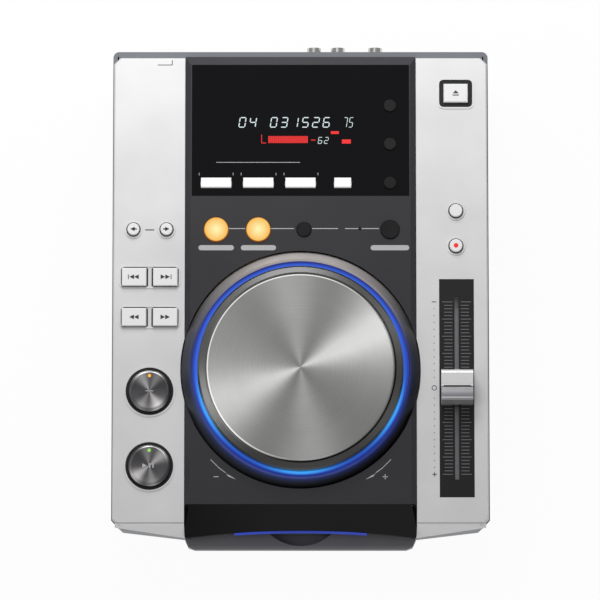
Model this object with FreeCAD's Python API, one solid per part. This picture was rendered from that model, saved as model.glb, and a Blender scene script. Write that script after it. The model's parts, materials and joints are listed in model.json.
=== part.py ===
import FreeCAD, Part
import math
import os

V = FreeCAD.Vector
os.makedirs("parts", exist_ok=True)

# Overall size of the player, in millimetres
WIDTH = 217.9
LENGTH = 299.3
HEIGHT = 105.8

# Casing heights
FOOT_H = 6.0
PANEL_TOP = 92.0
PANEL_SKIRT = 8.0
DECK_RISE = 3.0
FLOOR_SHEET = 1.2

# Casing walls and gaps
WALL = 2.5
PANEL_WALL = 2.2
PANEL_INSET = 0.8
GAP = 0.3
FIT = 0.05
CORNER_R = 3.5

# Casing plan
JACK_REACH = 9.5
REAR_LEDGE = 5.2
SIDE_FRONT = 15.8        # the side walls stop this far behind the tip of the lip
CHAMFER_X = 4.3
CHAMFER_Y = 4.6
WING_ADVANCE = 4.5       # the front faces run this much forward towards the middle
CENTRE_SETBACK = 11.6
FRONT_RAKE = 5.0         # the front faces lean back by this much at the bottom

# Silver panels
PANEL_FRONT = 12.0       # top face stops this far behind the tip of the lip
APRON_DROP = 21.0
APRON_RUN = 5.1
APRON_DROP_OUT = 3.0
APRON_RUN_OUT = 0.8
CREASE_W = 1.2
CREASE_D = 0.7
LEDGE_W = 9.0
LEDGE_T = 2.0

# Centre deck
DECK_HALF = 66.6
DECK_TOP_HALF = 63.5
DECK_FRONT = 24.3        # behind the tip of the lip
DECK_REAR_BEVEL = 5.2
DECK_T = 2.4

# Display window
WINDOW_HALF = 62.9
WINDOW_LEN = LENGTH / 2 - 72.65
WINDOW_T = 1.6

# Visor, slot and lip
VISOR_T = 3.0
VISOR_RUN = 18.3
VISOR_DROP = 14.0
VISOR_ARCH = 4.0
SLOT_HALF = 62.0
SLOT_H = 5.6
SLOT_UNDER = 19.5        # lip surface below the silver panels
FELT_T = 0.6
LIP_HALF = 66.8
LIP_CORNER_X = 5.8
LIP_CORNER_Y = 6.5
LIP_H = 28.0
NOTCH_HALF = 17.7
NOTCH_DEEP = 7.0
NOTCH_DOWN = 8.0
NOTCH_EDGE = 2.2
GUIDE_HALF = 38.2
GUIDE_T = 1.2

# Jog wheel
JOG_Y = 102.15 - LENGTH / 2
JOG_DISC_R = 53.9
JOG_DISC_T = 2.0
JOG_RIM_R = 59.1
JOG_RIM_DROP = 3.4
LIGHT_RING_T = 2.9
BEZEL_R = 68.4
BEZEL_RISE = 4.2
JOG_FLOOR = 88.0
JOG_FLOOR_T = 2.0
JOG_POST_R = 5.0

# Buttons
TRAVEL = 1.0
CAP_GAP = 0.25
BEAD_H = 0.45
BEAD_W = 1.0
SWITCH_H = 3.4
SWITCH_W = 6.0
KEY_BOARD_T = 1.6
KEY_BOARD_DROP = 12.0

# The keys keep their places along the case and across the silver strips beside the deck
ALONG = LENGTH / 299.3
STRIP = WIDTH / 2 - PANEL_INSET - DECK_HALF - GAP
ACROSS = STRIP / 41.25

BIG_CAP_R = 12.0 * ACROSS
BIG_RING_R = 13.8 * ACROSS
BIG_RISE = 3.2
BIG_X = -(DECK_HALF + GAP + 20.0 * ACROSS)
CUE_Y = -59.9 * ALONG
PLAY_Y = -103.1 * ALONG

PAIR_MID_X = -(DECK_HALF + GAP + 20.1 * ACROSS)
FOLDER_SPAN = 19.1 * ACROSS
FOLDER_Y = 34.3 * ALONG
FOLDER_R = 3.5
SMALL_RING_W = 0.7
SMALL_RISE = 2.6
TRACK_SPAN = 18.0 * ACROSS
TRACK_Y = 6.4 * ALONG
SEARCH_Y = -17.0 * ALONG
TRACK_W = 14.2 * ACROSS
TRACK_D = 10.5
TRACK_RISE = 2.4

EJECT_X = DECK_HALF + GAP + 23.1 * ACROSS
EJECT_Y = 114.2 * ALONG
EJECT_W = 14.0 * ACROSS
EJECT_D = 10.9
EJECT_WELL = 2.6
RANGE_X = DECK_HALF + GAP + 22.9 * ACROSS
RANGE_Y = 45.2 * ALONG
MASTER_Y = 24.7 * ALONG
RANGE_R = 3.75

EFFECT_PITCH = 24.4
EFFECT_W = 17.4
EFFECT_D = 5.6
EFFECT_IN = 7.65         # from the window's front edge
EFFECT_RISE = 1.6
HOLD_W = 9.7
MODE_X = 51.7
MODE_SPREAD = (0.68766, 0.39545)
MODE_R = 3.65
MODE_RISE = 1.5

LOOP_SHARE = 0.39816     # place of the row between the jog ring and the window
LOOP_R = 7.1
LOOP_IN_X = -48.7
LOOP_OUT_X = -24.4
LOOP_RISE = 1.2
RELOOP_X = 2.0
RELOOP_R = 4.2
BEAT_R = 5.4

# Tempo fader
FADER_X = EJECT_X
FADER_Y = -57.9 * ALONG
FADER_TRAVEL = 100.0
FADER_PLATE_W = 20.1 * ACROSS
FADER_PLATE_L = 126.6
FADER_PLATE_T = 1.0
FADER_SLOT_W = 2.4
FADER_CAP_W = 18.2 * ACROSS
FADER_CAP_L = 20.0
FADER_CAP_H = 11.0
FADER_STEM_W = 1.6
FADER_STEM_L = 4.0
FADER_BODY_W = 12.0 * ACROSS
FADER_BODY_H = 8.0

# Rear
REAR_SHEET = 1.2
REAR_WINDOW_HALF = WIDTH / 2 - 16.95
REAR_WINDOW_LOW = 20.0
REAR_WINDOW_HIGH = 66.0
JACK_Z = 44.0
JACK_R = 4.15
JACK_BASE_R = 5.4
JACK_XS = (8.0, 22.0, 44.0)
MINI_X = -10.0
MINI_R = 3.2
MINI_BORE_R = 1.8
INLET_X = REAR_WINDOW_HALF - 18.0
INLET_W = 20.0
INLET_H = 14.0
INLET_D = 17.0
INLET_PIN_R = 1.2
INLET_PIN_SPAN = 8.6
POWER_X = 17.5 - REAR_WINDOW_HALF
POWER_W = 11.0
POWER_H = 8.0
POWER_TRAVEL = 3.0

# Disc drive
DISC_R = 60.0
SPINDLE_Y = 93.65 - LENGTH / 2
DRIVE_HALF = 70.0
DRIVE_SHEET = 1.2
DRIVE_UNDER_DISC = 7.2
DRIVE_LENGTH = 152.0
DAMPER_H = 7.0
DAMPER_R = 6.0
DAMPER_BORE_R = 2.0
POST_R = 4.5
TURNTABLE_R = 15.0
TURNTABLE_T = 2.4
CONE_R = 7.2
MOTOR_R = 12.0
MOTOR_H = 7.0
ROLLER_R = 3.4
ROLLER_SHAFT_R = 1.5
ROLLER_AHEAD = 62.0
SLED_FIRST = 27.0
SLED_TRAVEL = 32.0
SLED_W = 34.0
SLED_L = 18.0
SLED_H = 5.0
ROD_R = 1.5
ROD_SPAN = 24.0
SCREW_R = 2.2
SCREW_OFF = 20.0
PUCK_R = 13.0
PUCK_H = 2.6
ARM_W = 26.0
ARM_T = 1.2

# Boards and power
BOARD_T = 1.6
BOARD_UP = 8.0
BOARD_W = 150.0
BOARD_L = 112.0 * ALONG
BOARD_Y = -34.0 * ALONG
SUPPLY_W = 120.0
SUPPLY_L = 66.0 * ALONG
SUPPLY_Y = 84.0 * ALONG
CORE_W = 46.0
CORE_L = 38.0
CORE_H = 34.0
TUBE_W = 78.0
TUBE_L = 24.0
TUBE_H = 7.0
TUBE_X = -6.0
TUBE_IN = 32.55          # from the window's rear edge
VENT_ROWS = (-78.0 * ALONG, 62.0 * ALONG)

# Feet and screws
FOOT_R = 10.0
FOOT_IN_X = 20.0
FOOT_IN_Y = 30.0
SCREW_SHANK_R = 1.4
SCREW_HEAD_R = 2.8
SCREW_HEAD_H = 1.6
SCREW_LEN = 5.0

# Places that follow from the sizes above
FRONT_TIP = -LENGTH / 2
CASE_REAR = LENGTH / 2 - JACK_REACH
CASE_LOW = FOOT_H
CASE_TOP = PANEL_TOP - PANEL_SKIRT
DECK_TOP = PANEL_TOP + DECK_RISE
DECK_FRONT_Y = FRONT_TIP + DECK_FRONT
PANEL_FRONT_Y = FRONT_TIP + PANEL_FRONT
PANEL_REAR_Y = CASE_REAR - REAR_LEDGE
PANEL_HALF = WIDTH / 2 - PANEL_INSET
PANEL_INNER = DECK_HALF + GAP
LEDGE_TOP = CASE_TOP + LEDGE_T
LIP_TOP = PANEL_TOP - SLOT_UNDER
SLOT_TOP = LIP_TOP + SLOT_H
DISC_Z = LIP_TOP + SLOT_H / 2
DRIVE_Z = DISC_Z - DRIVE_UNDER_DISC - DRIVE_SHEET
KEY_BOARD_TOP = PANEL_TOP - KEY_BOARD_DROP
SWITCH_TOP = KEY_BOARD_TOP + SWITCH_H
WINDOW_REAR_Y = CASE_REAR - REAR_LEDGE - DECK_REAR_BEVEL + 0.8
WINDOW_FRONT_Y = WINDOW_REAR_Y - WINDOW_LEN
TUBE_Y = WINDOW_REAR_Y - TUBE_IN
EFFECT_Y = WINDOW_FRONT_Y + EFFECT_IN
MODE_Y = tuple(WINDOW_FRONT_Y + share * WINDOW_LEN for share in MODE_SPREAD) + (EFFECT_Y,)
LOOP_Y = JOG_Y + BEZEL_R + LOOP_SHARE * (WINDOW_FRONT_Y - JOG_Y - BEZEL_R)
LIGHT_RING_R = JOG_RIM_R + GAP + LIGHT_RING_T
WELL_TOP = DECK_TOP - 2.6


def block(x0, x1, y0, y1, z0, z1):
    """A box between two corners."""
    return Part.makeBox(x1 - x0, y1 - y0, z1 - z0, V(x0, y0, z0))


def centred(x, y, w, d, z0, z1):
    """A box centred on x and y."""
    return block(x - w / 2, x + w / 2, y - d / 2, y + d / 2, z0, z1)


def post(r, z0, z1, x=0.0, y=0.0):
    """An upright cylinder."""
    return Part.makeCylinder(r, z1 - z0, V(x, y, z0))


def rod(r, start, end):
    """A cylinder between two points."""
    a = V(*start)
    b = V(*end)
    return Part.makeCylinder(r, (b - a).Length, a, b - a)


def ring(r_in, r_out, z0, z1, x=0.0, y=0.0):
    """An upright tube."""
    return post(r_out, z0, z1, x, y).cut(post(r_in, z0 - 1, z1 + 1, x, y))


def closed(points):
    """A closed wire through 3-D points."""
    corners = [V(*p) for p in points]
    return Part.makePolygon(corners + [corners[0]])


def plan(points, z0, z1):
    """An outline in X and Y, raised from z0 to z1."""
    wire = closed([(x, y, z0) for x, y in points])
    return Part.Face(wire).extrude(V(0, 0, z1 - z0))


def side(points, x0, x1):
    """A section in Y and Z, carried from x0 to x1."""
    wire = closed([(x0, y, z) for y, z in points])
    return Part.Face(wire).extrude(V(x1 - x0, 0, 0))


def prism(sides, r, start, end):
    """A bar with flat sides between two points, r to its corners."""
    axis = V(*end) - V(*start)
    spin = FreeCAD.Rotation(V(0, 0, 1), axis)
    turn = [2 * math.pi * k / sides for k in range(sides)]
    corners = [V(*start) + spin.multVec(V(r * math.cos(a), r * math.sin(a), 0)) for a in turn]
    return Part.Face(Part.makePolygon(corners + [corners[0]])).extrude(axis)


def hex_post(r, z0, z1, x, y):
    """An upright six-sided stand-off."""
    return prism(6, r, (x, y, z0), (x, y, z1))


def sides_for(r):
    """Number of flats that keeps a small round form smooth at this radius."""
    return 40 if r > 6 else 24


def drum(r, z0, z1, x, y):
    """An upright round form drawn with flats."""
    return prism(sides_for(r), r, (x, y, z0), (x, y, z1))


def collar(r_in, r_out, z0, z1, x, y):
    """An upright ring drawn with flats."""
    outer = prism(sides_for(r_in), r_out, (x, y, z0), (x, y, z1))
    return outer.cut(prism(sides_for(r_in), r_in, (x, y, z0 - 1), (x, y, z1 + 1)))


def taper(sides, start, r0, end, r1):
    """A tapered bar with flat sides between two points."""
    axis = V(*end) - V(*start)
    spin = FreeCAD.Rotation(V(0, 0, 1), axis)
    turn = [2 * math.pi * k / sides for k in range(sides)]
    wires = []
    for place, r in ((start, r0), (end, r1)):
        corners = [V(*place) + spin.multVec(V(r * math.cos(a), r * math.sin(a), 0)) for a in turn]
        wires.append(Part.makePolygon(corners + [corners[0]]))
    return Part.makeLoft(wires, True, True)


def lathe(points, x=0.0, y=0.0):
    """A section in radius and height, turned about an upright axis."""
    wire = closed([(x + r, y, z) for r, z in points])
    return Part.Face(wire).revolve(V(x, y, 0), V(0, 0, 1), 360)


def pad(x, y, w, d, r, z0, z1):
    """A box whose upright corners are rounded with three short flats."""
    corners = []
    for quarter, (sx, sy) in enumerate(((1, 1), (-1, 1), (-1, -1), (1, -1))):
        cx = x + sx * (w / 2 - r)
        cy = y + sy * (d / 2 - r)
        for step in range(4):
            a = math.radians(90 * quarter + 30 * step)
            corners.append((cx + r * math.cos(a), cy + r * math.sin(a)))
    return plan(corners, z0, z1)


def fuse(*shapes):
    """Join shapes into one solid."""
    body = shapes[0].fuse(list(shapes[1:]))
    return body.removeSplitter()


def mirrored(shape):
    """The same shape on the other side of the player."""
    return shape.mirror(V(0, 0, 0), V(1, 0, 0))


def group(shapes):
    """Separate solids that share one node."""
    return Part.makeCompound([s for shape in shapes for s in shape.Solids])


def save(name, shape):
    """Write one node."""
    shape.exportStep("parts/" + name + ".step")


def case_outline(z, inset, rake):
    """The case in plan: inset shrinks it and rake moves its front back."""
    half = WIDTH / 2 - inset
    rear = CASE_REAR - inset
    r = max(CORNER_R - inset, 0.4)
    side_y = FRONT_TIP + SIDE_FRONT + inset + rake
    wing_y = side_y - CHAMFER_Y
    inner_y = wing_y - WING_ADVANCE
    centre_y = FRONT_TIP + CENTRE_SETBACK + inset + rake
    right = [(DECK_HALF + inset, centre_y), (DECK_HALF + inset, inner_y),
             (half - CHAMFER_X, wing_y), (half, side_y)]
    left = [(-x, y) for x, y in reversed(right)]
    k = r * (1 - math.sqrt(0.5))
    edges = [Part.makePolygon([V(x, y, z) for x, y in left + right] + [V(half, rear - r, z)]),
             Part.Arc(V(half, rear - r, z), V(half - k, rear - k, z), V(half - r, rear, z)).toShape(),
             Part.makeLine(V(half - r, rear, z), V(r - half, rear, z)),
             Part.Arc(V(r - half, rear, z), V(k - half, rear - k, z), V(-half, rear - r, z)).toShape(),
             Part.makeLine(V(-half, rear - r, z), V(-half, side_y, z))]
    return Part.Wire([e for piece in edges for e in piece.Edges])


def case_block(low, high, inset):
    """The case as a solid block between two heights."""
    span = CASE_TOP - CASE_LOW
    lean = [FRONT_RAKE * (CASE_TOP - z) / span for z in (low, high)]
    wires = [case_outline(low, inset, lean[0]), case_outline(high, inset, lean[1])]
    return Part.makeLoft(wires, True, True)


def apron_section(x, run, drop):
    """The silver front apron cut across at x."""
    y = PANEL_FRONT_Y
    t = PANEL_WALL
    points = [(y + 2 * t, PANEL_TOP), (y, PANEL_TOP - 0.6), (y - run, PANEL_TOP - drop),
              (y - run + t, PANEL_TOP - drop), (y + t, PANEL_TOP - t), (y + 2 * t, PANEL_TOP - t)]
    return closed([(x, py, pz) for py, pz in points])


def above_apron(x, drop):
    """Section at x of the space that the apron closes."""
    y = PANEL_FRONT_Y
    low = PANEL_TOP - drop
    points = [(y - 20, low), (y + 2.0, low), (y + 2.0, PANEL_TOP + 5), (y - 20, PANEL_TOP + 5)]
    return closed([(x, py, pz) for py, pz in points])


def wing_ends():
    """Where the apron starts and ends across the player."""
    return -(PANEL_HALF - 1.6), -PANEL_INNER


def rear_cutout():
    """The opening in the rear wall that shows the jacks."""
    return block(-REAR_WINDOW_HALF, REAR_WINDOW_HALF, CASE_REAR - WALL - 1, CASE_REAR + 1,
                 REAR_WINDOW_LOW, REAR_WINDOW_HIGH)


def lower_case():
    """Moulded walls: sides, rear with its window, and the raked front wings."""
    shell = case_block(CASE_LOW, CASE_TOP, 0).cut(case_block(CASE_LOW, CASE_TOP, WALL))
    ledge = block(-PANEL_HALF + WALL, PANEL_HALF - WALL, PANEL_REAR_Y - WALL, CASE_REAR - WALL / 2,
                  CASE_TOP - WALL, CASE_TOP)
    shell = fuse(shell, ledge)
    shell = shell.cut(rear_cutout())
    outer, inner = wing_ends()
    over = Part.makeLoft([above_apron(outer, APRON_DROP_OUT), above_apron(inner, APRON_DROP)],
                         True, True)
    shell = shell.cut(over).cut(mirrored(over))
    mouth = block(-LIP_HALF - 0.1, LIP_HALF + 0.1, FRONT_TIP, DECK_FRONT_Y + 6,
                  LIP_TOP - LIP_H - 0.1, CASE_TOP + 1)
    shell = shell.cut(mouth)
    for sx in (-1, 1):
        for y in screw_rows():
            x = sx * (WIDTH / 2 - WALL - 4.0)
            boss = block(min(x, sx * (WIDTH / 2 - 1)), max(x, sx * (WIDTH / 2 - 1)), y - 4, y + 4,
                         CASE_LOW + FLOOR_SHEET, CASE_LOW + FLOOR_SHEET + SCREW_LEN + 2)
            boss = fuse(boss, centred(x, y, 8.0, 8.0, CASE_LOW + FLOOR_SHEET,
                                      CASE_LOW + FLOOR_SHEET + SCREW_LEN + 2))
            boss = boss.cut(hex_post(SCREW_SHANK_R, CASE_LOW, CASE_LOW + SCREW_LEN + 2, x, y))
            shell = shell.fuse(boss)
    return shell.removeSplitter()


def screw_rows():
    """Places along the case of the screws that hold the floor."""
    return [y * ALONG for y in (-110.0, -40.0, 40.0, 118.0)]


def drive_posts():
    """Where the four posts carry the disc drive."""
    y0 = drive_front() + 14.0
    y1 = drive_front() + DRIVE_LENGTH - 14.0
    x = DRIVE_HALF - 9.0
    return [(sx * x, y) for sx in (-1, 1) for y in (y0, y1)]


def drive_front():
    """Front edge of the drive frame."""
    return DECK_FRONT_Y + 0.5


def bottom_chassis():
    """Pressed steel floor with vents and the posts that carry the drive."""
    low = CASE_LOW
    sheet = case_block(low, low + FLOOR_SHEET, WALL + GAP)
    for x in range(-48, 49, 12):
        for y in VENT_ROWS:
            sheet = sheet.cut(centred(x, y, 4.0, 34.0, low - 1, low + 3))
    for sx in (-1, 1):
        for y in screw_rows():
            sheet = sheet.cut(hex_post(SCREW_SHANK_R + 0.1, low - 1, low + 3,
                                       sx * (WIDTH / 2 - WALL - 4.0), y))
    top = DRIVE_Z - DAMPER_H
    for x, y in drive_posts():
        sheet = sheet.fuse(hex_post(POST_R, low + FLOOR_SHEET / 2, top, x, y))
        sheet = sheet.fuse(hex_post(DAMPER_BORE_R, top - 1, DRIVE_Z - 1.0, x, y))
    for x in (-BOARD_W / 2 + 8, BOARD_W / 2 - 8):
        for y in (BOARD_Y - BOARD_L / 2 + 8, BOARD_Y + BOARD_L / 2 - 8):
            sheet = sheet.fuse(hex_post(3.0, low + FLOOR_SHEET / 2, low + BOARD_UP, x, y))
    for x in (-SUPPLY_W / 2 + 6, SUPPLY_W / 2 - 6):
        for y in (SUPPLY_Y - SUPPLY_L / 2 + 6, SUPPLY_Y + SUPPLY_L / 2 - 6):
            sheet = sheet.fuse(hex_post(3.0, low + FLOOR_SHEET / 2, low + BOARD_UP, x, y))
    return sheet.removeSplitter()


def feet_places():
    """The four foot centres."""
    x = WIDTH / 2 - FOOT_IN_X
    return [(sx * x, y) for sx in (-1, 1)
            for y in (FRONT_TIP + SIDE_FRONT + FOOT_IN_Y, CASE_REAR - FOOT_IN_Y)]


def rubber_feet():
    """Four round rubber feet."""
    return group([taper(24, (x, y, 0), FOOT_R - 1.2, (x, y, FOOT_H), FOOT_R)
                  for x, y in feet_places()])


def bead(x, y, w, d, r):
    """A low raised line round a button well."""
    outer = pad(x, y, w + 2 * BEAD_W, d + 2 * BEAD_W, r + BEAD_W, PANEL_TOP - 1, PANEL_TOP + BEAD_H)
    return outer.cut(pad(x, y, w, d, r, PANEL_TOP - 2, PANEL_TOP + 2))


def round_bead(x, y, r):
    """A low raised ring round a button well."""
    return collar(r, r + BEAD_W, PANEL_TOP - 1, PANEL_TOP + BEAD_H, x, y)


def panel_blank():
    """Left silver panel before its holes: plate, skirts, inner web, deck ledge and apron."""
    z0, z1 = CASE_TOP, PANEL_TOP
    out = -PANEL_HALF
    inn = -PANEL_INNER
    rear = PANEL_REAR_Y
    front_y = PANEL_FRONT_Y
    c = CORNER_R
    side_y = FRONT_TIP + SIDE_FRONT
    body = plan([(out, side_y), (out + CHAMFER_X, front_y), (inn, front_y), (inn, rear),
                 (out + c, rear), (out, rear - c)], z0, z1)
    outer_top = [e for e in body.Edges
                 if e.BoundBox.ZMin > z1 - 0.01 and e.BoundBox.YMax > front_y + 0.1
                 and e.BoundBox.XMin < inn - 0.1 and e.BoundBox.XMax < inn - 0.1]
    outer_top = [e for e in outer_top if e.BoundBox.YMin < rear - 0.1]
    body = body.makeChamfer(0.8, outer_top)
    t = PANEL_WALL
    hollow = block(out + t, inn - t, side_y + 1, rear - t, z0 - 1, z1 - t)
    front_hollow = block(out + CHAMFER_X + t, inn - t, front_y - 1, side_y + 2, z0 - 1, z1 - t)
    body = body.cut(hollow).cut(front_hollow)
    ledge = block(inn - t, inn + LEDGE_W - t, DECK_FRONT_Y, rear, z0, LEDGE_TOP)
    x_out, x_in = wing_ends()
    wedge = Part.makeLoft([apron_section(x_out, APRON_RUN_OUT, APRON_DROP_OUT),
                           apron_section(x_in, APRON_RUN, APRON_DROP)], True, True)
    body = fuse(body, ledge, wedge)
    crease = block(out - 1, inn + 1, front_y + 0.9, front_y + 0.9 + CREASE_W,
                   z1 - CREASE_D, z1 + 1)
    body = body.cut(crease)
    body = body.cut(post(BEZEL_R + 3 * GAP, z0 - 1, z1 + 1, 0, JOG_Y))
    return body


def left_top_panel():
    """Silver panel with the cue, play, track, search and folder wells."""
    body = panel_blank()
    for y in (CUE_Y, PLAY_Y):
        body = body.fuse(round_bead(BIG_X, y, BIG_RING_R))
        body = body.cut(drum(BIG_RING_R, PANEL_TOP - 5, PANEL_TOP + 2, BIG_X, y))
    for x, y in folder_places():
        r = FOLDER_R + SMALL_RING_W
        body = body.fuse(round_bead(x, y, r))
        body = body.cut(drum(r, PANEL_TOP - 5, PANEL_TOP + 2, x, y))
    for y in (TRACK_Y, SEARCH_Y):
        rim = bead(PAIR_MID_X, y + 0.3, TRACK_SPAN + TRACK_W + 1.2, TRACK_D + 1.0, 2.2)
        body = body.fuse(rim)
        for x in pair_xs(TRACK_SPAN):
            body = body.cut(pad(x, y, TRACK_W + 1.0, TRACK_D + 1.0, 1.2,
                                PANEL_TOP - 5, PANEL_TOP + 2))
    return body.removeSplitter()


def right_top_panel():
    """Silver panel with the eject, tempo and fader openings."""
    body = mirrored(panel_blank())
    w = EJECT_W + 2 * EJECT_WELL
    d = EJECT_D + 2 * EJECT_WELL
    body = body.fuse(bead(EJECT_X, EJECT_Y, w, d, 2.4))
    body = body.cut(pad(EJECT_X, EJECT_Y, w, d, 2.4, PANEL_TOP - 5, PANEL_TOP + 2))
    for y in (RANGE_Y, MASTER_Y):
        r = RANGE_R + SMALL_RING_W
        body = body.fuse(round_bead(RANGE_X, y, r))
        body = body.cut(drum(r, PANEL_TOP - 5, PANEL_TOP + 2, RANGE_X, y))
    body = body.cut(centred(FADER_X, FADER_Y, FADER_PLATE_W, FADER_PLATE_L,
                            PANEL_TOP - FADER_PLATE_T, PANEL_TOP + 1))
    body = body.cut(centred(FADER_X, FADER_Y, FADER_BODY_W, FADER_TRAVEL + FADER_STEM_L + 6,
                            PANEL_TOP - 5, PANEL_TOP + 1))
    return body.removeSplitter()


def pair_xs(span):
    """Centres of a pair of buttons on the left panel."""
    return PAIR_MID_X - span / 2, PAIR_MID_X + span / 2


def folder_places():
    """Centres of the folder buttons."""
    return [(x, FOLDER_Y) for x in pair_xs(FOLDER_SPAN)]


def effect_xs():
    """Centres of the three effect buttons."""
    return [-2 * EFFECT_PITCH, -EFFECT_PITCH, 0.0]


def deck_loft(inset, drop):
    """The raised deck with its bevelled sides and rear, shrunk for the hollow inside."""
    base_z = PANEL_TOP - drop
    top_z = DECK_TOP - drop
    rear = PANEL_REAR_Y + 0.8 - inset
    low = closed([(sx * (DECK_HALF - inset), y, base_z) for sx, y in
                  ((-1, DECK_FRONT_Y), (1, DECK_FRONT_Y), (1, rear), (-1, rear))])
    high = closed([(sx * (DECK_TOP_HALF - inset), y, top_z) for sx, y in
                   ((-1, DECK_FRONT_Y), (1, DECK_FRONT_Y), (1, rear - DECK_REAR_BEVEL),
                    (-1, rear - DECK_REAR_BEVEL))])
    bevel = Part.makeLoft([low, high], True, True)
    skirt = block(-DECK_HALF + inset, DECK_HALF - inset, DECK_FRONT_Y, rear, LEDGE_TOP - 1 * (inset > 0),
                  base_z)
    return fuse(bevel, skirt)


def center_deck():
    """Raised centre deck: bevelled shell, round jog well, display recess and button holes."""
    body = deck_loft(0, 0).cut(deck_loft(DECK_T, DECK_T))
    well = post(BEZEL_R, JOG_FLOOR - JOG_FLOOR_T, WELL_TOP, 0, JOG_Y)
    body = fuse(body, well)
    body = body.cut(ring(BEZEL_R - 0.01, BEZEL_R + 2 * GAP, WELL_TOP, DECK_TOP + 1, 0, JOG_Y))
    body = body.cut(post(BEZEL_R, WELL_TOP, DECK_TOP + 1, 0, JOG_Y))
    body = body.cut(post(LIGHT_RING_R + FIT, JOG_FLOOR, WELL_TOP + 1, 0, JOG_Y))
    body = body.cut(block(-WINDOW_HALF, WINDOW_HALF, WINDOW_FRONT_Y, WINDOW_REAR_Y,
                          DECK_TOP - WINDOW_T, DECK_TOP + 1))
    for cutter in window_holes(0.4):
        body = body.cut(cutter)
    body = body.cut(block(TUBE_X - TUBE_W / 2 + 4, TUBE_X + TUBE_W / 2 - 4, TUBE_Y - TUBE_L / 2 + 2,
                          TUBE_Y + TUBE_L / 2 - 2, DECK_TOP - 6, DECK_TOP + 1))
    for x, r in loop_buttons():
        body = body.cut(drum(r + CAP_GAP, DECK_TOP - 5, DECK_TOP + 1, x, LOOP_Y))
    return body.removeSplitter()


def loop_buttons():
    """Centre and radius of each round button in the loop row."""
    return [(LOOP_IN_X, LOOP_R), (LOOP_OUT_X, LOOP_R), (RELOOP_X, RELOOP_R), (MODE_X, BEAT_R)]


def window_holes(extra):
    """Openings through the window for its buttons."""
    z0, z1 = DECK_TOP - 6, DECK_TOP + 1
    gap = 2 * (CAP_GAP + extra)
    holes = [centred(x, EFFECT_Y, EFFECT_W + gap, EFFECT_D + gap, z0, z1) for x in effect_xs()]
    holes.append(centred(EFFECT_PITCH, EFFECT_Y, HOLD_W + gap, EFFECT_D + gap, z0, z1))
    holes += [drum(MODE_R + gap / 2, z0, z1, MODE_X, y) for y in MODE_Y]
    return holes


def display_window():
    """Glossy window over the display, with holes for its buttons."""
    body = block(-WINDOW_HALF + 0.1, WINDOW_HALF - 0.1, WINDOW_FRONT_Y + 0.1, WINDOW_REAR_Y - 0.1,
                 DECK_TOP - WINDOW_T, DECK_TOP)
    for cutter in window_holes(0):
        body = body.cut(cutter)
    return body


def visor_line(y):
    """Height of the visor's sloping face at y."""
    return DECK_TOP - VISOR_DROP * (DECK_FRONT_Y - y) / VISOR_RUN


def front_fascia():
    """Glossy visor: sloping face with an arched edge, cheeks and the upper guide of the slot."""
    y0 = DECK_FRONT_Y
    y1 = y0 - VISOR_RUN
    z1 = DECK_TOP - VISOR_DROP
    t = VISOR_T
    slab = side([(y0, DECK_TOP), (y1, z1), (y1, z1 - t), (y0 - 1.0, DECK_TOP - t - 1.5),
                 (y0, DECK_TOP - t - 1.5)], -DECK_HALF, DECK_HALF)
    trim = plan([(-DECK_TOP_HALF, y0 + 1), (-DECK_HALF, y0 - VISOR_RUN * 0.7),
                 (-DECK_HALF, y1 - 1), (DECK_HALF, y1 - 1), (DECK_HALF, y0 - VISOR_RUN * 0.7),
                 (DECK_TOP_HALF, y0 + 1)], LIP_TOP - 2, DECK_TOP + 1)
    roof = block(-DECK_TOP_HALF, DECK_TOP_HALF, y0 - VISOR_RUN * 0.6, y0, SLOT_TOP + FELT_T,
                 SLOT_TOP + FELT_T + 2.0)
    brace = block(-DECK_TOP_HALF, DECK_TOP_HALF, y0 - 2.0, y0, SLOT_TOP + FELT_T, DECK_TOP - t)
    body = fuse(slab, roof, brace)
    for sx in (-1, 1):
        cheek = side([(y0, DECK_TOP - t), (y0 - 1, DECK_TOP - t), (y1, z1 - t), (y1, LIP_TOP + 1.2),
                      (y1 + 2, LIP_TOP + FIT), (y0, LIP_TOP + FIT)],
                     sx * DECK_HALF, sx * (SLOT_HALF + 1.2))
        body = fuse(body, cheek)
    arch_r = (DECK_HALF ** 2 + VISOR_ARCH ** 2) / (2 * VISOR_ARCH)
    arch = post(arch_r, LIP_TOP - 5, DECK_TOP + 5, 0, y1 + VISOR_ARCH - arch_r)
    return body.common(trim).cut(arch)


def slot_light_guide():
    """Thin clear bar along the arched edge of the visor."""
    y1 = DECK_FRONT_Y - VISOR_RUN + VISOR_ARCH
    arch_r = (DECK_HALF ** 2 + VISOR_ARCH ** 2) / (2 * VISOR_ARCH)
    z = visor_line(y1) - VISOR_T
    bar = ring(arch_r - GUIDE_T, arch_r, z - 0.4, z + VISOR_T - 0.5, 0, y1 - arch_r - FIT)
    bar = bar.common(block(-GUIDE_HALF, GUIDE_HALF, y1 - 6, y1 + 2, z - 2, z + 5))
    return bar


def lip_outline(inset=0.0):
    """The lip seen from above."""
    x = LIP_HALF - inset
    y = FRONT_TIP + inset
    c = LIP_CORNER_X
    d = LIP_CORNER_Y
    back = DECK_FRONT_Y
    return [(-x, back), (-x, y + d), (-x + 0.35 * c, y + 0.28 * d), (-x + c, y), (x - c, y),
            (x - 0.35 * c, y + 0.28 * d), (x, y + d), (x, back)]


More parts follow.
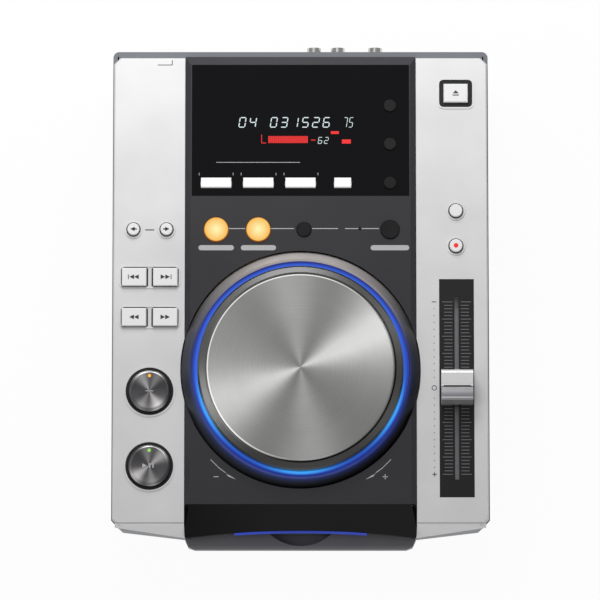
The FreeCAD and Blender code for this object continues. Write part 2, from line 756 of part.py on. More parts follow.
def lower_lip():
    """Dark lip under the slot: rounded nose, swept chin and the finger notch."""
    y0 = FRONT_TIP
    z = LIP_TOP
    h = LIP_H
    back = FRONT_TIP + CENTRE_SETBACK + WALL + 0.6
    section = [(DECK_FRONT_Y, z), (y0 + 2.2, z), (y0 + 0.7, z - 0.7), (y0, z - 2.4), (y0, z - 6),
               (y0 + 3.5, z - h * 0.6), (back - 3.2, z - h), (back, z - h), (back, z - 12),
               (back + 2.0, z - 11), (DECK_FRONT_Y, z - 11)]
    body = side(section, -LIP_HALF, LIP_HALF)
    body = body.common(plan(lip_outline(), z - h - 1, z + 1))
    floor = block(-SLOT_HALF, SLOT_HALF, back, DECK_FRONT_Y + 1, z - h, z - 2.0)
    body = body.cut(floor)
    edge = y0 + NOTCH_EDGE
    r = (NOTCH_HALF ** 2 + NOTCH_DEEP ** 2) / (2 * NOTCH_DEEP)
    scoop = post(r, z - NOTCH_DOWN, z + 1, 0, edge + r)
    scoop = scoop.common(block(-r, r, edge - 1, edge + NOTCH_DEEP, z - NOTCH_DOWN - 1, z + 2))
    return body.cut(scoop).removeSplitter()


def slot_felts():
    """Felt strips above and below the disc slot."""
    y0 = DECK_FRONT_Y - VISOR_RUN * 0.55
    y1 = DECK_FRONT_Y - 0.5
    upper = block(-SLOT_HALF, SLOT_HALF, y0, y1, SLOT_TOP, SLOT_TOP + FELT_T)
    lower = block(-SLOT_HALF, SLOT_HALF, y0 + 3, y1, LIP_TOP, LIP_TOP + FELT_T)
    return group([upper, lower])


def jog_bezel_ring():
    """Conical ring round the jog wheel."""
    r_in = LIGHT_RING_R + FIT
    top = WELL_TOP + 2.6 + BEZEL_RISE
    section = [(r_in, WELL_TOP), (BEZEL_R, WELL_TOP), (BEZEL_R, WELL_TOP + 0.8),
               (r_in + 1.3, top), (r_in, top - 0.4)]
    return lathe(section, 0, JOG_Y)


def jog_light_ring():
    """Clear ring that glows round the jog wheel."""
    r_out = LIGHT_RING_R
    r_in = r_out - LIGHT_RING_T
    top = WELL_TOP + 2.6 + BEZEL_RISE - 1.2
    section = [(r_in, JOG_FLOOR), (r_out, JOG_FLOOR), (r_out, top), (r_in, top - 0.9)]
    return lathe(section, 0, JOG_Y)


def jog_post():
    """Bearing post that stands on the floor of the jog well."""
    base = drum(14.0, JOG_FLOOR, JOG_FLOOR + 1.5, 0, JOG_Y)
    stem = post(JOG_POST_R, JOG_FLOOR, HEIGHT - JOG_DISC_T - 2.0, 0, JOG_Y)
    return fuse(base, stem)


def jog_rim():
    """Moulded wheel: outer rim, web and the hub that turns on the post."""
    top = HEIGHT - JOG_DISC_T
    low = JOG_FLOOR + 1.8
    bore = JOG_POST_R + FIT
    skirt = JOG_RIM_R - 2.4
    section = [(bore, low), (bore + 3.5, low), (bore + 3.5, top - 3.0), (skirt, top - 3.0),
               (skirt, low), (JOG_RIM_R, low), (JOG_RIM_R, HEIGHT - JOG_RIM_DROP),
               (JOG_RIM_R - 0.9, HEIGHT - JOG_RIM_DROP + 1.4), (JOG_DISC_R + 1.2, HEIGHT - 0.5),
               (JOG_DISC_R + 0.3, top), (bore, top)]
    return lathe(section, 0, JOG_Y)


def jog_disc():
    """Brushed metal disc with a cut bevel at its edge."""
    z0 = HEIGHT - JOG_DISC_T
    section = [(0, z0), (JOG_DISC_R, z0), (JOG_DISC_R, HEIGHT - 0.7), (JOG_DISC_R - 0.8, HEIGHT),
               (0, HEIGHT)]
    return lathe(section, 0, JOG_Y)


def round_button(x, y, r, top, plate, edge=0.4):
    """Round cap with a square stem and a retaining flange under a plate of this underside."""
    stem_low = SWITCH_TOP + TRAVEL + 0.2
    flange = plate - GAP
    cap = drum(r, flange - 1.0, top - edge, x, y)
    crown = taper(sides_for(r), (x, y, top - edge), r, (x, y, top), r - edge)
    wing = centred(x, y, 2 * r + 2.4, r, flange - 1.0, flange)
    stem = centred(x, y, 3.0, 3.0, stem_low, flange - 0.5)
    return fuse(cap, crown, wing, stem)


def square_button(x, y, w, d, top, plate, crown=0.5):
    """Rectangular cap with bevelled top edges, a flange and a stem."""
    stem_low = SWITCH_TOP + TRAVEL + 0.2
    flange = plate - GAP
    cap = centred(x, y, w, d, flange - 1.0, top)
    rim = [e for e in cap.Edges if e.BoundBox.ZMin > top - 0.01]
    cap = cap.makeChamfer(crown, rim)
    wing = centred(x, y, w + 2.4, min(2.4, d - 1), flange - 1.0, flange)
    stem = centred(x, y, 3.0, 3.0, stem_low, flange - 0.5)
    return fuse(cap, wing, stem)


def button_collars():
    """Black rings inside the round wells of the silver panels and the eject well."""
    under = PANEL_TOP - PANEL_WALL
    rings = [collar(BIG_CAP_R + CAP_GAP, BIG_RING_R, under, PANEL_TOP + 0.4, BIG_X, y)
             for y in (CUE_Y, PLAY_Y)]
    rings += [collar(FOLDER_R + CAP_GAP, FOLDER_R + SMALL_RING_W, under, PANEL_TOP + 0.3, x, y)
              for x, y in folder_places()]
    rings += [collar(RANGE_R + CAP_GAP, RANGE_R + SMALL_RING_W, under, PANEL_TOP + 0.3, RANGE_X, y)
              for y in (RANGE_Y, MASTER_Y)]
    w = EJECT_W + 2 * EJECT_WELL
    d = EJECT_D + 2 * EJECT_WELL
    well = pad(EJECT_X, EJECT_Y, w, d, 2.4, under, PANEL_TOP - 0.4)
    well = well.cut(centred(EJECT_X, EJECT_Y, EJECT_W + 2 * CAP_GAP, EJECT_D + 2 * CAP_GAP,
                            under - 1, PANEL_TOP + 1))
    return group(rings + [well])


def key_switches():
    """Centre of every key switch, by board."""
    left = [(BIG_X, CUE_Y), (BIG_X, PLAY_Y)] + folder_places()
    left += [(x, y) for y in (TRACK_Y, SEARCH_Y) for x in pair_xs(TRACK_SPAN)]
    right = [(EJECT_X, EJECT_Y), (RANGE_X, RANGE_Y), (RANGE_X, MASTER_Y)]
    middle = [(x, EFFECT_Y) for x in effect_xs() + [EFFECT_PITCH]]
    middle += [(MODE_X, y) for y in MODE_Y]
    middle += [(x, LOOP_Y) for x, r in loop_buttons()]
    return left, middle, right


def key_boards():
    """Three boards under the panels with a switch under every button."""
    t = KEY_BOARD_T
    top = KEY_BOARD_TOP
    left, middle, right = key_switches()
    in_x = PANEL_INNER + PANEL_WALL + 1.5
    out_x = PANEL_HALF - PANEL_WALL - 2.0
    boards = []
    low_y = min(y for x, y in left) - 12.0
    high_y = max(y for x, y in left) + 12.0
    boards.append(block(-out_x, -in_x, low_y, high_y, top - t, top))
    low_y = min(y for x, y in middle) - 8.0
    high_y = max(y for x, y in middle) + 12.0
    boards.append(block(-DECK_HALF + 8, DECK_HALF - 8, low_y, high_y, top - t, top))
    low_y = min(y for x, y in right) - 8.0
    high_y = max(y for x, y in right) + 12.0
    boards.append(block(in_x, out_x, low_y, high_y, top - t, top))
    made = []
    for board, places in zip(boards, (left, middle, right)):
        for x, y in places:
            board = board.fuse(centred(x, y, SWITCH_W, SWITCH_W, top - t / 2, top + SWITCH_H))
        made.append(board.removeSplitter())
    for number, sx in ((0, -1), (2, 1)):
        box = made[number].BoundBox
        for y in (box.YMin + 3, box.YMax - 3):
            pillar = hex_post(2.0, top - t / 2, PANEL_TOP - PANEL_WALL, sx * (out_x - 2.5), y)
            made[number] = made[number].fuse(pillar).removeSplitter()
    return group(made)


def fader_scale_plate():
    """Dark plate with the slot that the fader's lever runs in."""
    body = centred(FADER_X, FADER_Y, FADER_PLATE_W - 0.2, FADER_PLATE_L - 0.2,
                   PANEL_TOP - FADER_PLATE_T, PANEL_TOP)
    slot = centred(FADER_X, FADER_Y, FADER_SLOT_W, FADER_TRAVEL + FADER_STEM_L + 2,
                   PANEL_TOP - 3, PANEL_TOP + 1)
    return body.cut(slot)


def fader_unit():
    """Slide potentiometer: a steel channel that hangs under the plate."""
    z1 = PANEL_TOP - FADER_PLATE_T
    z0 = z1 - FADER_BODY_H
    length = FADER_TRAVEL + FADER_STEM_L + 5.6
    body = centred(FADER_X, FADER_Y, FADER_BODY_W - 0.4, length, z0, z1)
    body = body.cut(centred(FADER_X, FADER_Y, FADER_BODY_W - 3, length - 2.4, z0 + 1, z1 + 1))
    return body


def fader_cap():
    """Fader cap with a dished top on its steel lever."""
    z0 = PANEL_TOP + 2.0
    z1 = z0 + FADER_CAP_H
    h = FADER_CAP_L / 2
    section = [(-h, z0), (h, z0), (h, z0 + 4.5), (h - 1.6, z1 - 0.6), (h - 2.6, z1),
               (2.4, z1 - 2.6), (0.8, z1 - 3.0), (-0.8, z1 - 3.0), (-2.4, z1 - 2.6),
               (-h + 2.6, z1), (-h + 1.6, z1 - 0.6), (-h, z0 + 4.5)]
    body = side([(FADER_Y + y, z) for y, z in section], FADER_X - FADER_CAP_W / 2,
                FADER_X + FADER_CAP_W / 2)
    stem = centred(FADER_X, FADER_Y, FADER_STEM_W, FADER_STEM_L,
                   PANEL_TOP - FADER_PLATE_T - FADER_BODY_H + 3, z0 + 1)
    shoe = centred(FADER_X, FADER_Y, FADER_BODY_W - 3 - 2 * FIT, FADER_STEM_L,
                   PANEL_TOP - FADER_PLATE_T - FADER_BODY_H + 1.4,
                   PANEL_TOP - FADER_PLATE_T - 1.0)
    return fuse(body, stem, shoe)


def rear_panel():
    """Steel plate behind the rear window, with holes for the jacks."""
    y1 = CASE_REAR - WALL
    y0 = y1 - REAR_SHEET
    body = block(-REAR_WINDOW_HALF - 4, REAR_WINDOW_HALF + 4, y0, y1,
                 CASE_LOW + FLOOR_SHEET, REAR_WINDOW_HIGH + 4)
    for x in JACK_XS:
        body = body.cut(prism(12, JACK_BASE_R + FIT, (x, y0 - 1, JACK_Z), (x, y1 + 1, JACK_Z)))
    body = body.cut(rod(MINI_R, (MINI_X, y0 - 1, JACK_Z), (MINI_X, y1 + 1, JACK_Z)))
    body = body.cut(block(INLET_X - INLET_W / 2, INLET_X + INLET_W / 2, y0 - 1, y1 + 1,
                          JACK_Z - INLET_H / 2, JACK_Z + INLET_H / 2))
    body = body.cut(block(POWER_X - POWER_W / 2 - GAP, POWER_X + POWER_W / 2 + GAP, y0 - 1, y1 + 1,
                          JACK_Z - POWER_H / 2 - GAP, JACK_Z + POWER_H / 2 + GAP))
    return body


def signal_jacks():
    """Three pin jacks and one mini jack."""
    y = CASE_REAR - WALL
    tip = LENGTH / 2
    made = []
    for x in JACK_XS:
        base = prism(12, JACK_BASE_R, (x, y - 12, JACK_Z), (x, y + 2.0, JACK_Z))
        barrel = rod(JACK_R, (x, y, JACK_Z), (x, tip, JACK_Z))
        bore = rod(JACK_R - 0.9, (x, tip - 8, JACK_Z), (x, tip + 1, JACK_Z))
        core = prism(12, 2.4, (x, tip - 9, JACK_Z), (x, tip - 0.6, JACK_Z))
        hole = prism(8, 1.6, (x, tip - 9, JACK_Z), (x, tip, JACK_Z))
        made.append(fuse(base, barrel).cut(bore).fuse(core).cut(hole).removeSplitter())
    body = block(MINI_X - 5, MINI_X + 5, y - 14, y - REAR_SHEET, JACK_Z - 5, JACK_Z + 5)
    nose = rod(MINI_R, (MINI_X, y - 2, JACK_Z), (MINI_X, y + 1.6, JACK_Z))
    bore = rod(MINI_BORE_R, (MINI_X, y - 12, JACK_Z), (MINI_X, y + 3, JACK_Z))
    made.append(fuse(body, nose).cut(bore))
    return group(made)


def ac_inlet():
    """Two-pin mains inlet: a deep socket with its pins."""
    y1 = CASE_REAR - WALL + 1.5
    y0 = y1 - INLET_D
    w = INLET_W / 2
    h = INLET_H / 2
    body = block(INLET_X - w, INLET_X + w, y0, y1, JACK_Z - h, JACK_Z + h)
    socket = pad(INLET_X, JACK_Z, INLET_W - 4.4, INLET_H - 5.0, 4.2, 0, INLET_D - 2)
    socket = socket.rotate(V(0, 0, 0), V(1, 0, 0), 90)
    socket = socket.translate(V(0, y1, 0))
    socket = socket.cut(block(-200, 200, y1, y1 + 30, -200, 200))
    body = body.cut(socket)
    for sx in (-1, 1):
        x = INLET_X + sx * INLET_PIN_SPAN / 2
        body = body.fuse(prism(12, INLET_PIN_R, (x, y0 + 1, JACK_Z), (x, y1 - 2.5, JACK_Z)))
    return body


def power_button():
    """Push button for the mains switch, on its plunger."""
    y = CASE_REAR - WALL
    cap = block(POWER_X - POWER_W / 2, POWER_X + POWER_W / 2, y - 3.0, y + 6.0,
                JACK_Z - POWER_H / 2, JACK_Z + POWER_H / 2)
    rim = [e for e in cap.Edges if e.BoundBox.YMin > y + 5.9]
    cap = cap.makeChamfer(0.6, rim)
    plunger = block(POWER_X - 2, POWER_X + 2, y - 14.0, y - 2.0, JACK_Z - 2, JACK_Z + 2)
    return fuse(cap, plunger)


def power_supply():
    """Supply board with transformer, and the mains switch that the power button works."""
    z = CASE_LOW + BOARD_UP
    board = centred(0, SUPPLY_Y, SUPPLY_W, SUPPLY_L, z, z + BOARD_T)
    core = centred(16, SUPPLY_Y - 6, CORE_W, CORE_L, z + BOARD_T, z + BOARD_T + CORE_H)
    winding = centred(16, SUPPLY_Y - 6, CORE_W * 0.55, CORE_L + 10, z + BOARD_T + 5,
                      z + BOARD_T + CORE_H - 5)
    y = CASE_REAR - WALL - 14.0 - POWER_TRAVEL - 0.3
    switch = block(POWER_X - 6, POWER_X + 6, y - 18, CASE_REAR - WALL - 8.0, JACK_Z - 6, JACK_Z + 6)
    shaft = block(POWER_X - 2 - FIT, POWER_X + 2 + FIT, y, CASE_REAR - WALL, JACK_Z - 2 - FIT,
                  JACK_Z + 2 + FIT)
    switch = switch.cut(shaft)
    stand = block(POWER_X - 6, POWER_X + 6, y - 18, y - 4, CASE_LOW + FLOOR_SHEET, JACK_Z - 6)
    return group([fuse(board, core, winding), fuse(switch, stand)])


def main_board():
    """Main circuit board with its largest components."""
    z = CASE_LOW + BOARD_UP
    board = centred(0, BOARD_Y, BOARD_W, BOARD_L, z, z + BOARD_T)
    for x, y in drive_posts():
        board = board.cut(centred(x, y, 2 * POST_R + 2, 2 * POST_R + 2, z - 1, z + BOARD_T + 1))
    parts = [board]
    parts.append(centred(-18, BOARD_Y + 8, 28, 28, z + 1, z + BOARD_T + 1.6))
    parts.append(centred(26, BOARD_Y - 12, 20, 20, z + 1, z + BOARD_T + 1.6))
    parts += [prism(12, 4.0, (x, BOARD_Y + 40, z + 1), (x, BOARD_Y + 40, z + BOARD_T + 11))
              for x in (-40, -28, 30)]
    return fuse(*parts)


def display_tube():
    """Fluorescent display on its board, hung under the window."""
    z1 = DECK_TOP - 6.2
    tube = centred(TUBE_X, TUBE_Y, TUBE_W, TUBE_L, z1 - TUBE_H, z1)
    feet = [centred(TUBE_X + sx * (TUBE_W / 2 - 2), TUBE_Y, 4, TUBE_L, KEY_BOARD_TOP, z1)
            for sx in (-1, 1)]
    pads = [centred(TUBE_X + sx * (TUBE_W / 2 - 1.5), TUBE_Y, 3, TUBE_L, z1 - 1, DECK_TOP - DECK_T)
            for sx in (-1, 1)]
    return fuse(tube, *feet, *pads)


def sled_y():
    """Pickup's place at rest, at the inner edge of a disc."""
    return SPINDLE_Y + SLED_FIRST


def drive_chassis():
    """Folded steel frame of the drive with bearing walls, rod brackets and the guide rods."""
    t = DRIVE_SHEET
    z0 = DRIVE_Z
    y0 = drive_front()
    y1 = y0 + DRIVE_LENGTH
    h = DRIVE_HALF
    plate = block(-h, h, y0, y1, z0, z0 + t)
    plate = plate.cut(drum(MOTOR_R + 1.5, z0 - 1, z0 + 5, 0, SPINDLE_Y))
    start = sled_y() - SLED_L / 2 - 2
    end = sled_y() + SLED_TRAVEL + SLED_L / 2 + 2
    plate = plate.cut(block(-SLED_W / 2 - 3, ROD_SPAN + 4, start, end, z0 - 1, z0 + 5))
    plate = plate.cut(block(-SCREW_OFF - 5, -SLED_W / 2, start, end, z0 - 1, z0 + 5))
    plate = plate.cut(block(1 - DISC_R, DISC_R - 1, roller_y() - ROLLER_R - 0.4,
                            roller_y() + ROLLER_R + 0.4, z0 - 1, z0 + 5))
    wall_top = DISC_Z + 5.0
    walls = [block(sx * h - t * (sx > 0), sx * h + t * (sx < 0), y0, y1, z0, wall_top)
             for sx in (-1, 1)]
    body = fuse(plate, *walls)
    for x, y in drive_posts():
        body = body.cut(hex_post(DAMPER_BORE_R + 0.4, z0 - 1, z0 + 3, x, y))
    ry = roller_y()
    body = body.cut(rod(ROLLER_SHAFT_R + FIT, (-h - 1, ry, roller_z()), (h + 1, ry, roller_z())))
    py = pivot_y()
    body = body.cut(rod(1.5 + FIT, (-h - 1, py, pivot_z()), (h + 1, py, pivot_z())))
    rods = []
    for y in (start - 1.0, end + 1.0):
        lug = block(-ROD_SPAN - 3, ROD_SPAN + 3, y - 0.6, y + 0.6, rod_z() - 3, z0 + 0.5)
        for x in (-ROD_SPAN, ROD_SPAN):
            lug = lug.cut(prism(12, ROD_R, (x, y - 2, rod_z()), (x, y + 2, rod_z())))
        lug = lug.cut(rod(1.0 + FIT, (-SCREW_OFF + 6, y - 2, rod_z()), (-SCREW_OFF + 6, y + 2, rod_z())))
        body = body.fuse(lug)
    body = body.removeSplitter()
    for x in (-ROD_SPAN, ROD_SPAN):
        rods.append(prism(12, ROD_R, (x, start - 1.6, rod_z()), (x, end + 1.6, rod_z())))
    return group([body] + rods)


def rod_z():
    """Height of the guide rods."""
    return DRIVE_Z - 3.4


def roller_y():
    """Loading roller, just ahead of a loaded disc."""
    return SPINDLE_Y - ROLLER_AHEAD


def roller_z():
    """Roller axis, with its skin a little under the disc."""
    return DISC_Z - 0.6 - ROLLER_R


def pivot_y():
    """Clamp arm's pivot behind the disc."""
    return SPINDLE_Y + DISC_R + 8.0


def pivot_z():
    """Height of the clamp arm's pivot."""
    return DISC_Z + 1.6


def drive_dampers():
    """Rubber dampers between the posts and the drive frame."""
    z0 = DRIVE_Z - DAMPER_H
    made = []
    for x, y in drive_posts():
        body = prism(12, DAMPER_R, (x, y, z0), (x, y, DRIVE_Z))
        made.append(body.cut(hex_post(DAMPER_BORE_R + FIT, z0 - 1, DRIVE_Z + 1, x, y)))
    return group(made)


def drive_motors():
    """Spindle, loading and feed motors."""
    z1 = DRIVE_Z + DRIVE_SHEET
    spindle = prism(24, MOTOR_R, (0, SPINDLE_Y, z1 - MOTOR_H), (0, SPINDLE_Y, z1))
    plate = centred(0, SPINDLE_Y, 2 * MOTOR_R + 8, 9, z1, z1 + 0.8)
    spindle = fuse(spindle, plate, post(1.5, z1, DISC_Z + 0.3, 0, SPINDLE_Y))
    z0 = DRIVE_Z
    y = drive_front() + 44.0
    x = DRIVE_HALF - 22
    loader = prism(16, 9.0, (x, y, z0 - 16), (x, y, z0))
    end = sled_y() + SLED_TRAVEL + SLED_L / 2 + 2
    x = -SCREW_OFF + 6
    feeder = prism(12, 4.0, (x, end + 4.6, rod_z() - 0.8), (x, end + 16.0, rod_z() - 0.8))
    seat = block(x - 5, x + 5, end + 4.6, end + 16.0, rod_z() + 1, DRIVE_Z)
    return group([spindle, loader, fuse(feeder, seat)])


def turntable_hub():
    """Turntable with its rubber face and centring cone, on the spindle."""
    low = DISC_Z - 0.6 - TURNTABLE_T
    table = drum(TURNTABLE_R, low, DISC_Z - 0.6, 0, SPINDLE_Y)
    cone = taper(24, (0, SPINDLE_Y, DISC_Z - 0.7), CONE_R + 0.4, (0, SPINDLE_Y, DISC_Z + 0.9),
                 CONE_R - 0.6)
    return fuse(table, cone).cut(post(1.5 + FIT, low - 1, DISC_Z + 2, 0, SPINDLE_Y))


def clamp_puck():
    """Puck that holds the disc on the turntable, free to turn in the arm."""
    z0 = DISC_Z + 1.9
    plate = drum(PUCK_R, z0, z0 + 1.0, 0, SPINDLE_Y)
    return fuse(plate, post(5.0, z0 + 0.5, z0 + 3.4, 0, SPINDLE_Y))


def clamp_arm():
    """Sheet arm that carries the puck, on a cross pivot behind the disc."""
    z0 = DISC_Z + 1.9 + 1.3
    y0 = SPINDLE_Y - ARM_W / 2
    y1 = pivot_y() + 4.0
    blade = block(-ARM_W / 2, ARM_W / 2, y0, y1, z0, z0 + ARM_T)
    blade = blade.cut(post(5.0 + FIT, z0 - 1, z0 + 3, 0, SPINDLE_Y))
    lug = block(-ARM_W / 2, ARM_W / 2, pivot_y() - 3, pivot_y() + 3, pivot_z() - 3, z0 + ARM_T)
    pivot = rod(1.5, (-DRIVE_HALF, pivot_y(), pivot_z()), (DRIVE_HALF, pivot_y(), pivot_z()))
    return fuse(blade, lug, pivot)


def pickup_sled():
    """Laser sled on the guide rods, with its lens and the follower of the feed screw."""
    y = sled_y()
    z = rod_z()
    body = centred(0, y, SLED_W, SLED_L, z - 2.0, z + SLED_H)
    arms = centred(0, y, 2 * ROD_SPAN + 6, 6.0, z - 2.6, z + 2.6)
    lens = drum(3.6, z + SLED_H - 0.5, DISC_Z - 2.6, 0, y)
    body = fuse(body, arms, lens)
    for x in (-ROD_SPAN, ROD_SPAN):
        body = body.cut(prism(12, ROD_R + FIT, (x, y - 20, z), (x, y + 20, z)))
    body = body.cut(prism(16, SCREW_R + 0.15, (-SCREW_OFF + 6, y - 20, z), (-SCREW_OFF + 6, y + 20, z)))
    return body


def feed_screw():
    """Lead screw that drives the sled."""
    start = sled_y() - SLED_L / 2 - 2
    end = sled_y() + SLED_TRAVEL + SLED_L / 2 + 2
    x = -SCREW_OFF + 6
    shaft = rod(1.0, (x, start - 2.0, rod_z()), (x, end + 4.0, rod_z()))
    thread = prism(12, SCREW_R, (x, start + 1.0, rod_z()), (x, end - 1.0, rod_z()))
    return fuse(shaft, thread)


def loading_roller():
    """Rubber roller, thinner in the middle, with its shaft and drive gear."""
    y = roller_y()
    z = roller_z()
    h = DRIVE_HALF
    shaft = rod(ROLLER_SHAFT_R, (-h - 1.5, y, z), (h + 1.5, y, z))
    cones = []
    for sx in (-1, 1):
        cones.append(taper(16, (0, y, z), ROLLER_R - 0.9, (sx * (DISC_R - 1), y, z), ROLLER_R))
    gear = prism(20, 6.0, (h + 0.4, y, z), (h + 3.2, y, z))
    return fuse(shaft, *cones, gear)


def case_screws():
    """Screws that hold the floor and the rear panel."""
    made = []
    for sx in (-1, 1):
        for y in screw_rows():
            x = sx * (WIDTH / 2 - WALL - 4.0)
            head = prism(8, SCREW_HEAD_R, (x, y, CASE_LOW - SCREW_HEAD_H), (x, y, CASE_LOW))
            made.append(fuse(head, hex_post(SCREW_SHANK_R, CASE_LOW - 1, CASE_LOW + SCREW_LEN, x, y)))
    y = CASE_REAR - WALL
    for x in (JACK_XS[0] + 7.0, JACK_XS[1] + 11.0, POWER_X + 14, INLET_X - 17):
        head = prism(8, SCREW_HEAD_R, (x, y, JACK_Z + 12), (x, y + SCREW_HEAD_H, JACK_Z + 12))
        made.append(head)
    return group(made)


def save_all():
    """Build every node and write it."""
    under = PANEL_TOP - PANEL_WALL
    deck_under = DECK_TOP - DECK_T
    save("bottom_chassis", bottom_chassis())
    save("lower_case", lower_case())
    save("left_top_panel", left_top_panel())
    save("right_top_panel", right_top_panel())
    save("center_deck", center_deck())
    save("display_window", display_window())
    save("front_fascia", front_fascia())
    save("slot_light_guide", slot_light_guide())
    save("lower_lip", lower_lip())
    save("slot_felts", slot_felts())
    save("jog_bezel_ring", jog_bezel_ring())
    save("jog_light_ring", jog_light_ring())
    save("jog_post", jog_post())
    save("jog_rim", jog_rim())
    save("jog_disc", jog_disc())
    save("rubber_feet", rubber_feet())
    save("case_screws", case_screws())
    save("main_board", main_board())
    save("power_supply", power_supply())
    save("display_tube", display_tube())
    save("key_boards", key_boards())
    save("button_collars", button_collars())
    save("fader_scale_plate", fader_scale_plate())
    save("fader_unit", fader_unit())
    save("fader_cap", fader_cap())
    save("rear_panel", rear_panel())
    save("signal_jacks", signal_jacks())
    save("ac_inlet", ac_inlet())
    save("power_button", power_button())
    save("drive_chassis", drive_chassis())
    save("drive_dampers", drive_dampers())
    save("drive_motors", drive_motors())
    save("turntable_hub", turntable_hub())
    save("clamp_puck", clamp_puck())
    save("clamp_arm", clamp_arm())
    save("pickup_sled", pickup_sled())
    save("feed_screw", feed_screw())
    save("loading_roller", loading_roller())

    save("cue_button", round_button(BIG_X, CUE_Y, BIG_CAP_R, PANEL_TOP + BIG_RISE, under, 0.8))
    save("play_button", round_button(BIG_X, PLAY_Y, BIG_CAP_R, PANEL_TOP + BIG_RISE, under, 0.8))
    for name, (x, y) in zip(("folder_back_button", "folder_next_button"), folder_places()):
        save(name, round_button(x, y, FOLDER_R, PANEL_TOP + SMALL_RISE, under))
    for word, y in (("track", TRACK_Y), ("search", SEARCH_Y)):
        for name, x in zip(("back", "next"), pair_xs(TRACK_SPAN)):
            save(word + "_" + name + "_button",
                 square_button(x, y, TRACK_W, TRACK_D, PANEL_TOP + TRACK_RISE, under))
    save("eject_button", square_button(EJECT_X, EJECT_Y, EJECT_W, EJECT_D, PANEL_TOP + 1.6, under))
    save("tempo_range_button", round_button(RANGE_X, RANGE_Y, RANGE_R, PANEL_TOP + SMALL_RISE, under))
    save("master_tempo_button", round_button(RANGE_X, MASTER_Y, RANGE_R, PANEL_TOP + SMALL_RISE, under))
    for number, x in enumerate(effect_xs(), 1):
        save("effect_%d_button" % number,
             square_button(x, EFFECT_Y, EFFECT_W, EFFECT_D, DECK_TOP + EFFECT_RISE, deck_under, 0.4))
    save("hold_button", square_button(EFFECT_PITCH, EFFECT_Y, HOLD_W, EFFECT_D,
                                      DECK_TOP + EFFECT_RISE, deck_under, 0.4))
    for name, y in zip(("text", "time", "auto_cue"), MODE_Y):
        save(name + "_button", round_button(MODE_X, y, MODE_R, DECK_TOP + MODE_RISE, deck_under))
    names = ("loop_in", "loop_out", "reloop", "beat_loop")
    for name, (x, r) in zip(names, loop_buttons()):
        save(name + "_button", round_button(x, LOOP_Y, r, DECK_TOP + LOOP_RISE, deck_under))


save_all()
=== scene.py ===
# %% [markdown]
# This notebook dresses a tabletop disc player for mixing. The construction comes ready made as a
# fixed frame, in metres, and everything here is a finish, a print, a lamp or a finer cap that sits
# on it. The frame is loaded first, because every place below is worked out from it.

# %% Load the frame
import bpy
import bmesh
import json
import math
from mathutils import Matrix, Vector


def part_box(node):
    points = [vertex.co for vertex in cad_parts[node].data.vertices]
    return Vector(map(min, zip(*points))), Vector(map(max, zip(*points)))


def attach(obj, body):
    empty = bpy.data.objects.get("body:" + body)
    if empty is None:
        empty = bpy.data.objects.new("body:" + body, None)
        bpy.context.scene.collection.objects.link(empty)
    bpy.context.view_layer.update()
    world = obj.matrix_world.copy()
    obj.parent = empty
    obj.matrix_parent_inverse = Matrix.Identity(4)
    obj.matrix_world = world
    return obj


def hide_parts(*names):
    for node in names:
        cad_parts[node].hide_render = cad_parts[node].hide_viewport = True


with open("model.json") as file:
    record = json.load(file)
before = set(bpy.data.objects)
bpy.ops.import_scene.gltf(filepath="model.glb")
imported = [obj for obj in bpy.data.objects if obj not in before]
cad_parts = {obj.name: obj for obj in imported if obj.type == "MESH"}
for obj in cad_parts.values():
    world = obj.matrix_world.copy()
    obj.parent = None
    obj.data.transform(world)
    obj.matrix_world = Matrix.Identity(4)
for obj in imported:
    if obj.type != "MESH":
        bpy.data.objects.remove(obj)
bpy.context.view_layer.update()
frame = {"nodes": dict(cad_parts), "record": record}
MM = 0.001

# %% [markdown]
# Heights and centres could be typed in, but then a print would float when the casing changes. They
# are read from the frame's nodes instead: the box of a node gives its lowest and highest corner.


# %% Measure the frame
def low(node):
    """Lowest corner of a node."""
    return Vector(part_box(node)[0])


def high(node):
    """Highest corner of a node."""
    return Vector(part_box(node)[1])


def middle(node):
    """Centre of a node."""
    return (low(node) + high(node)) / 2


PANEL_Z = high("fader_scale_plate").z
DECK_Z = high("center_deck").z
JOG = middle("jog_disc")
JOG_R = (high("jog_disc").x - low("jog_disc").x) / 2
print("deck", round(DECK_Z / MM, 1), "mm, jog radius", round(JOG_R / MM, 1), "mm")

# %% [markdown]
# The photograph looks almost straight down, tilted a little from the front, through a long lens:
# the sides of the casing run parallel. A camera three metres away at that tilt does the same. The
# picture is 600 pixels wide and a pixel on the deck is 0.577 mm.

# %% Camera
PIXELS = 600
PIXEL = 0.577 * MM
DISTANCE = 3.0
TILT = math.radians(82)
AIM = Vector((-0.0003, -0.0068, PANEL_Z))

camera = bpy.data.cameras.new("photo_camera")
camera.sensor_width = 36
camera.lens = camera.sensor_width * DISTANCE / (PIXELS * PIXEL)
camera.clip_end = 20
viewer = bpy.data.objects.new("photo_camera", camera)
bpy.context.scene.collection.objects.link(viewer)
viewer.location = AIM + DISTANCE * Vector((0, -math.cos(TILT), math.sin(TILT)))
viewer.rotation_euler = (AIM - viewer.location).to_track_quat("-Z", "Y").to_euler()
bpy.context.scene.camera = viewer
bpy.context.scene.view_settings.view_transform = "Standard"
print("lens", round(camera.lens), "mm")

# %% [markdown]
# Shader sums read best as plain arithmetic. A small class wraps a socket and turns each operator
# into a Math node, also when the number stands on the left, so that 1 - mask works.


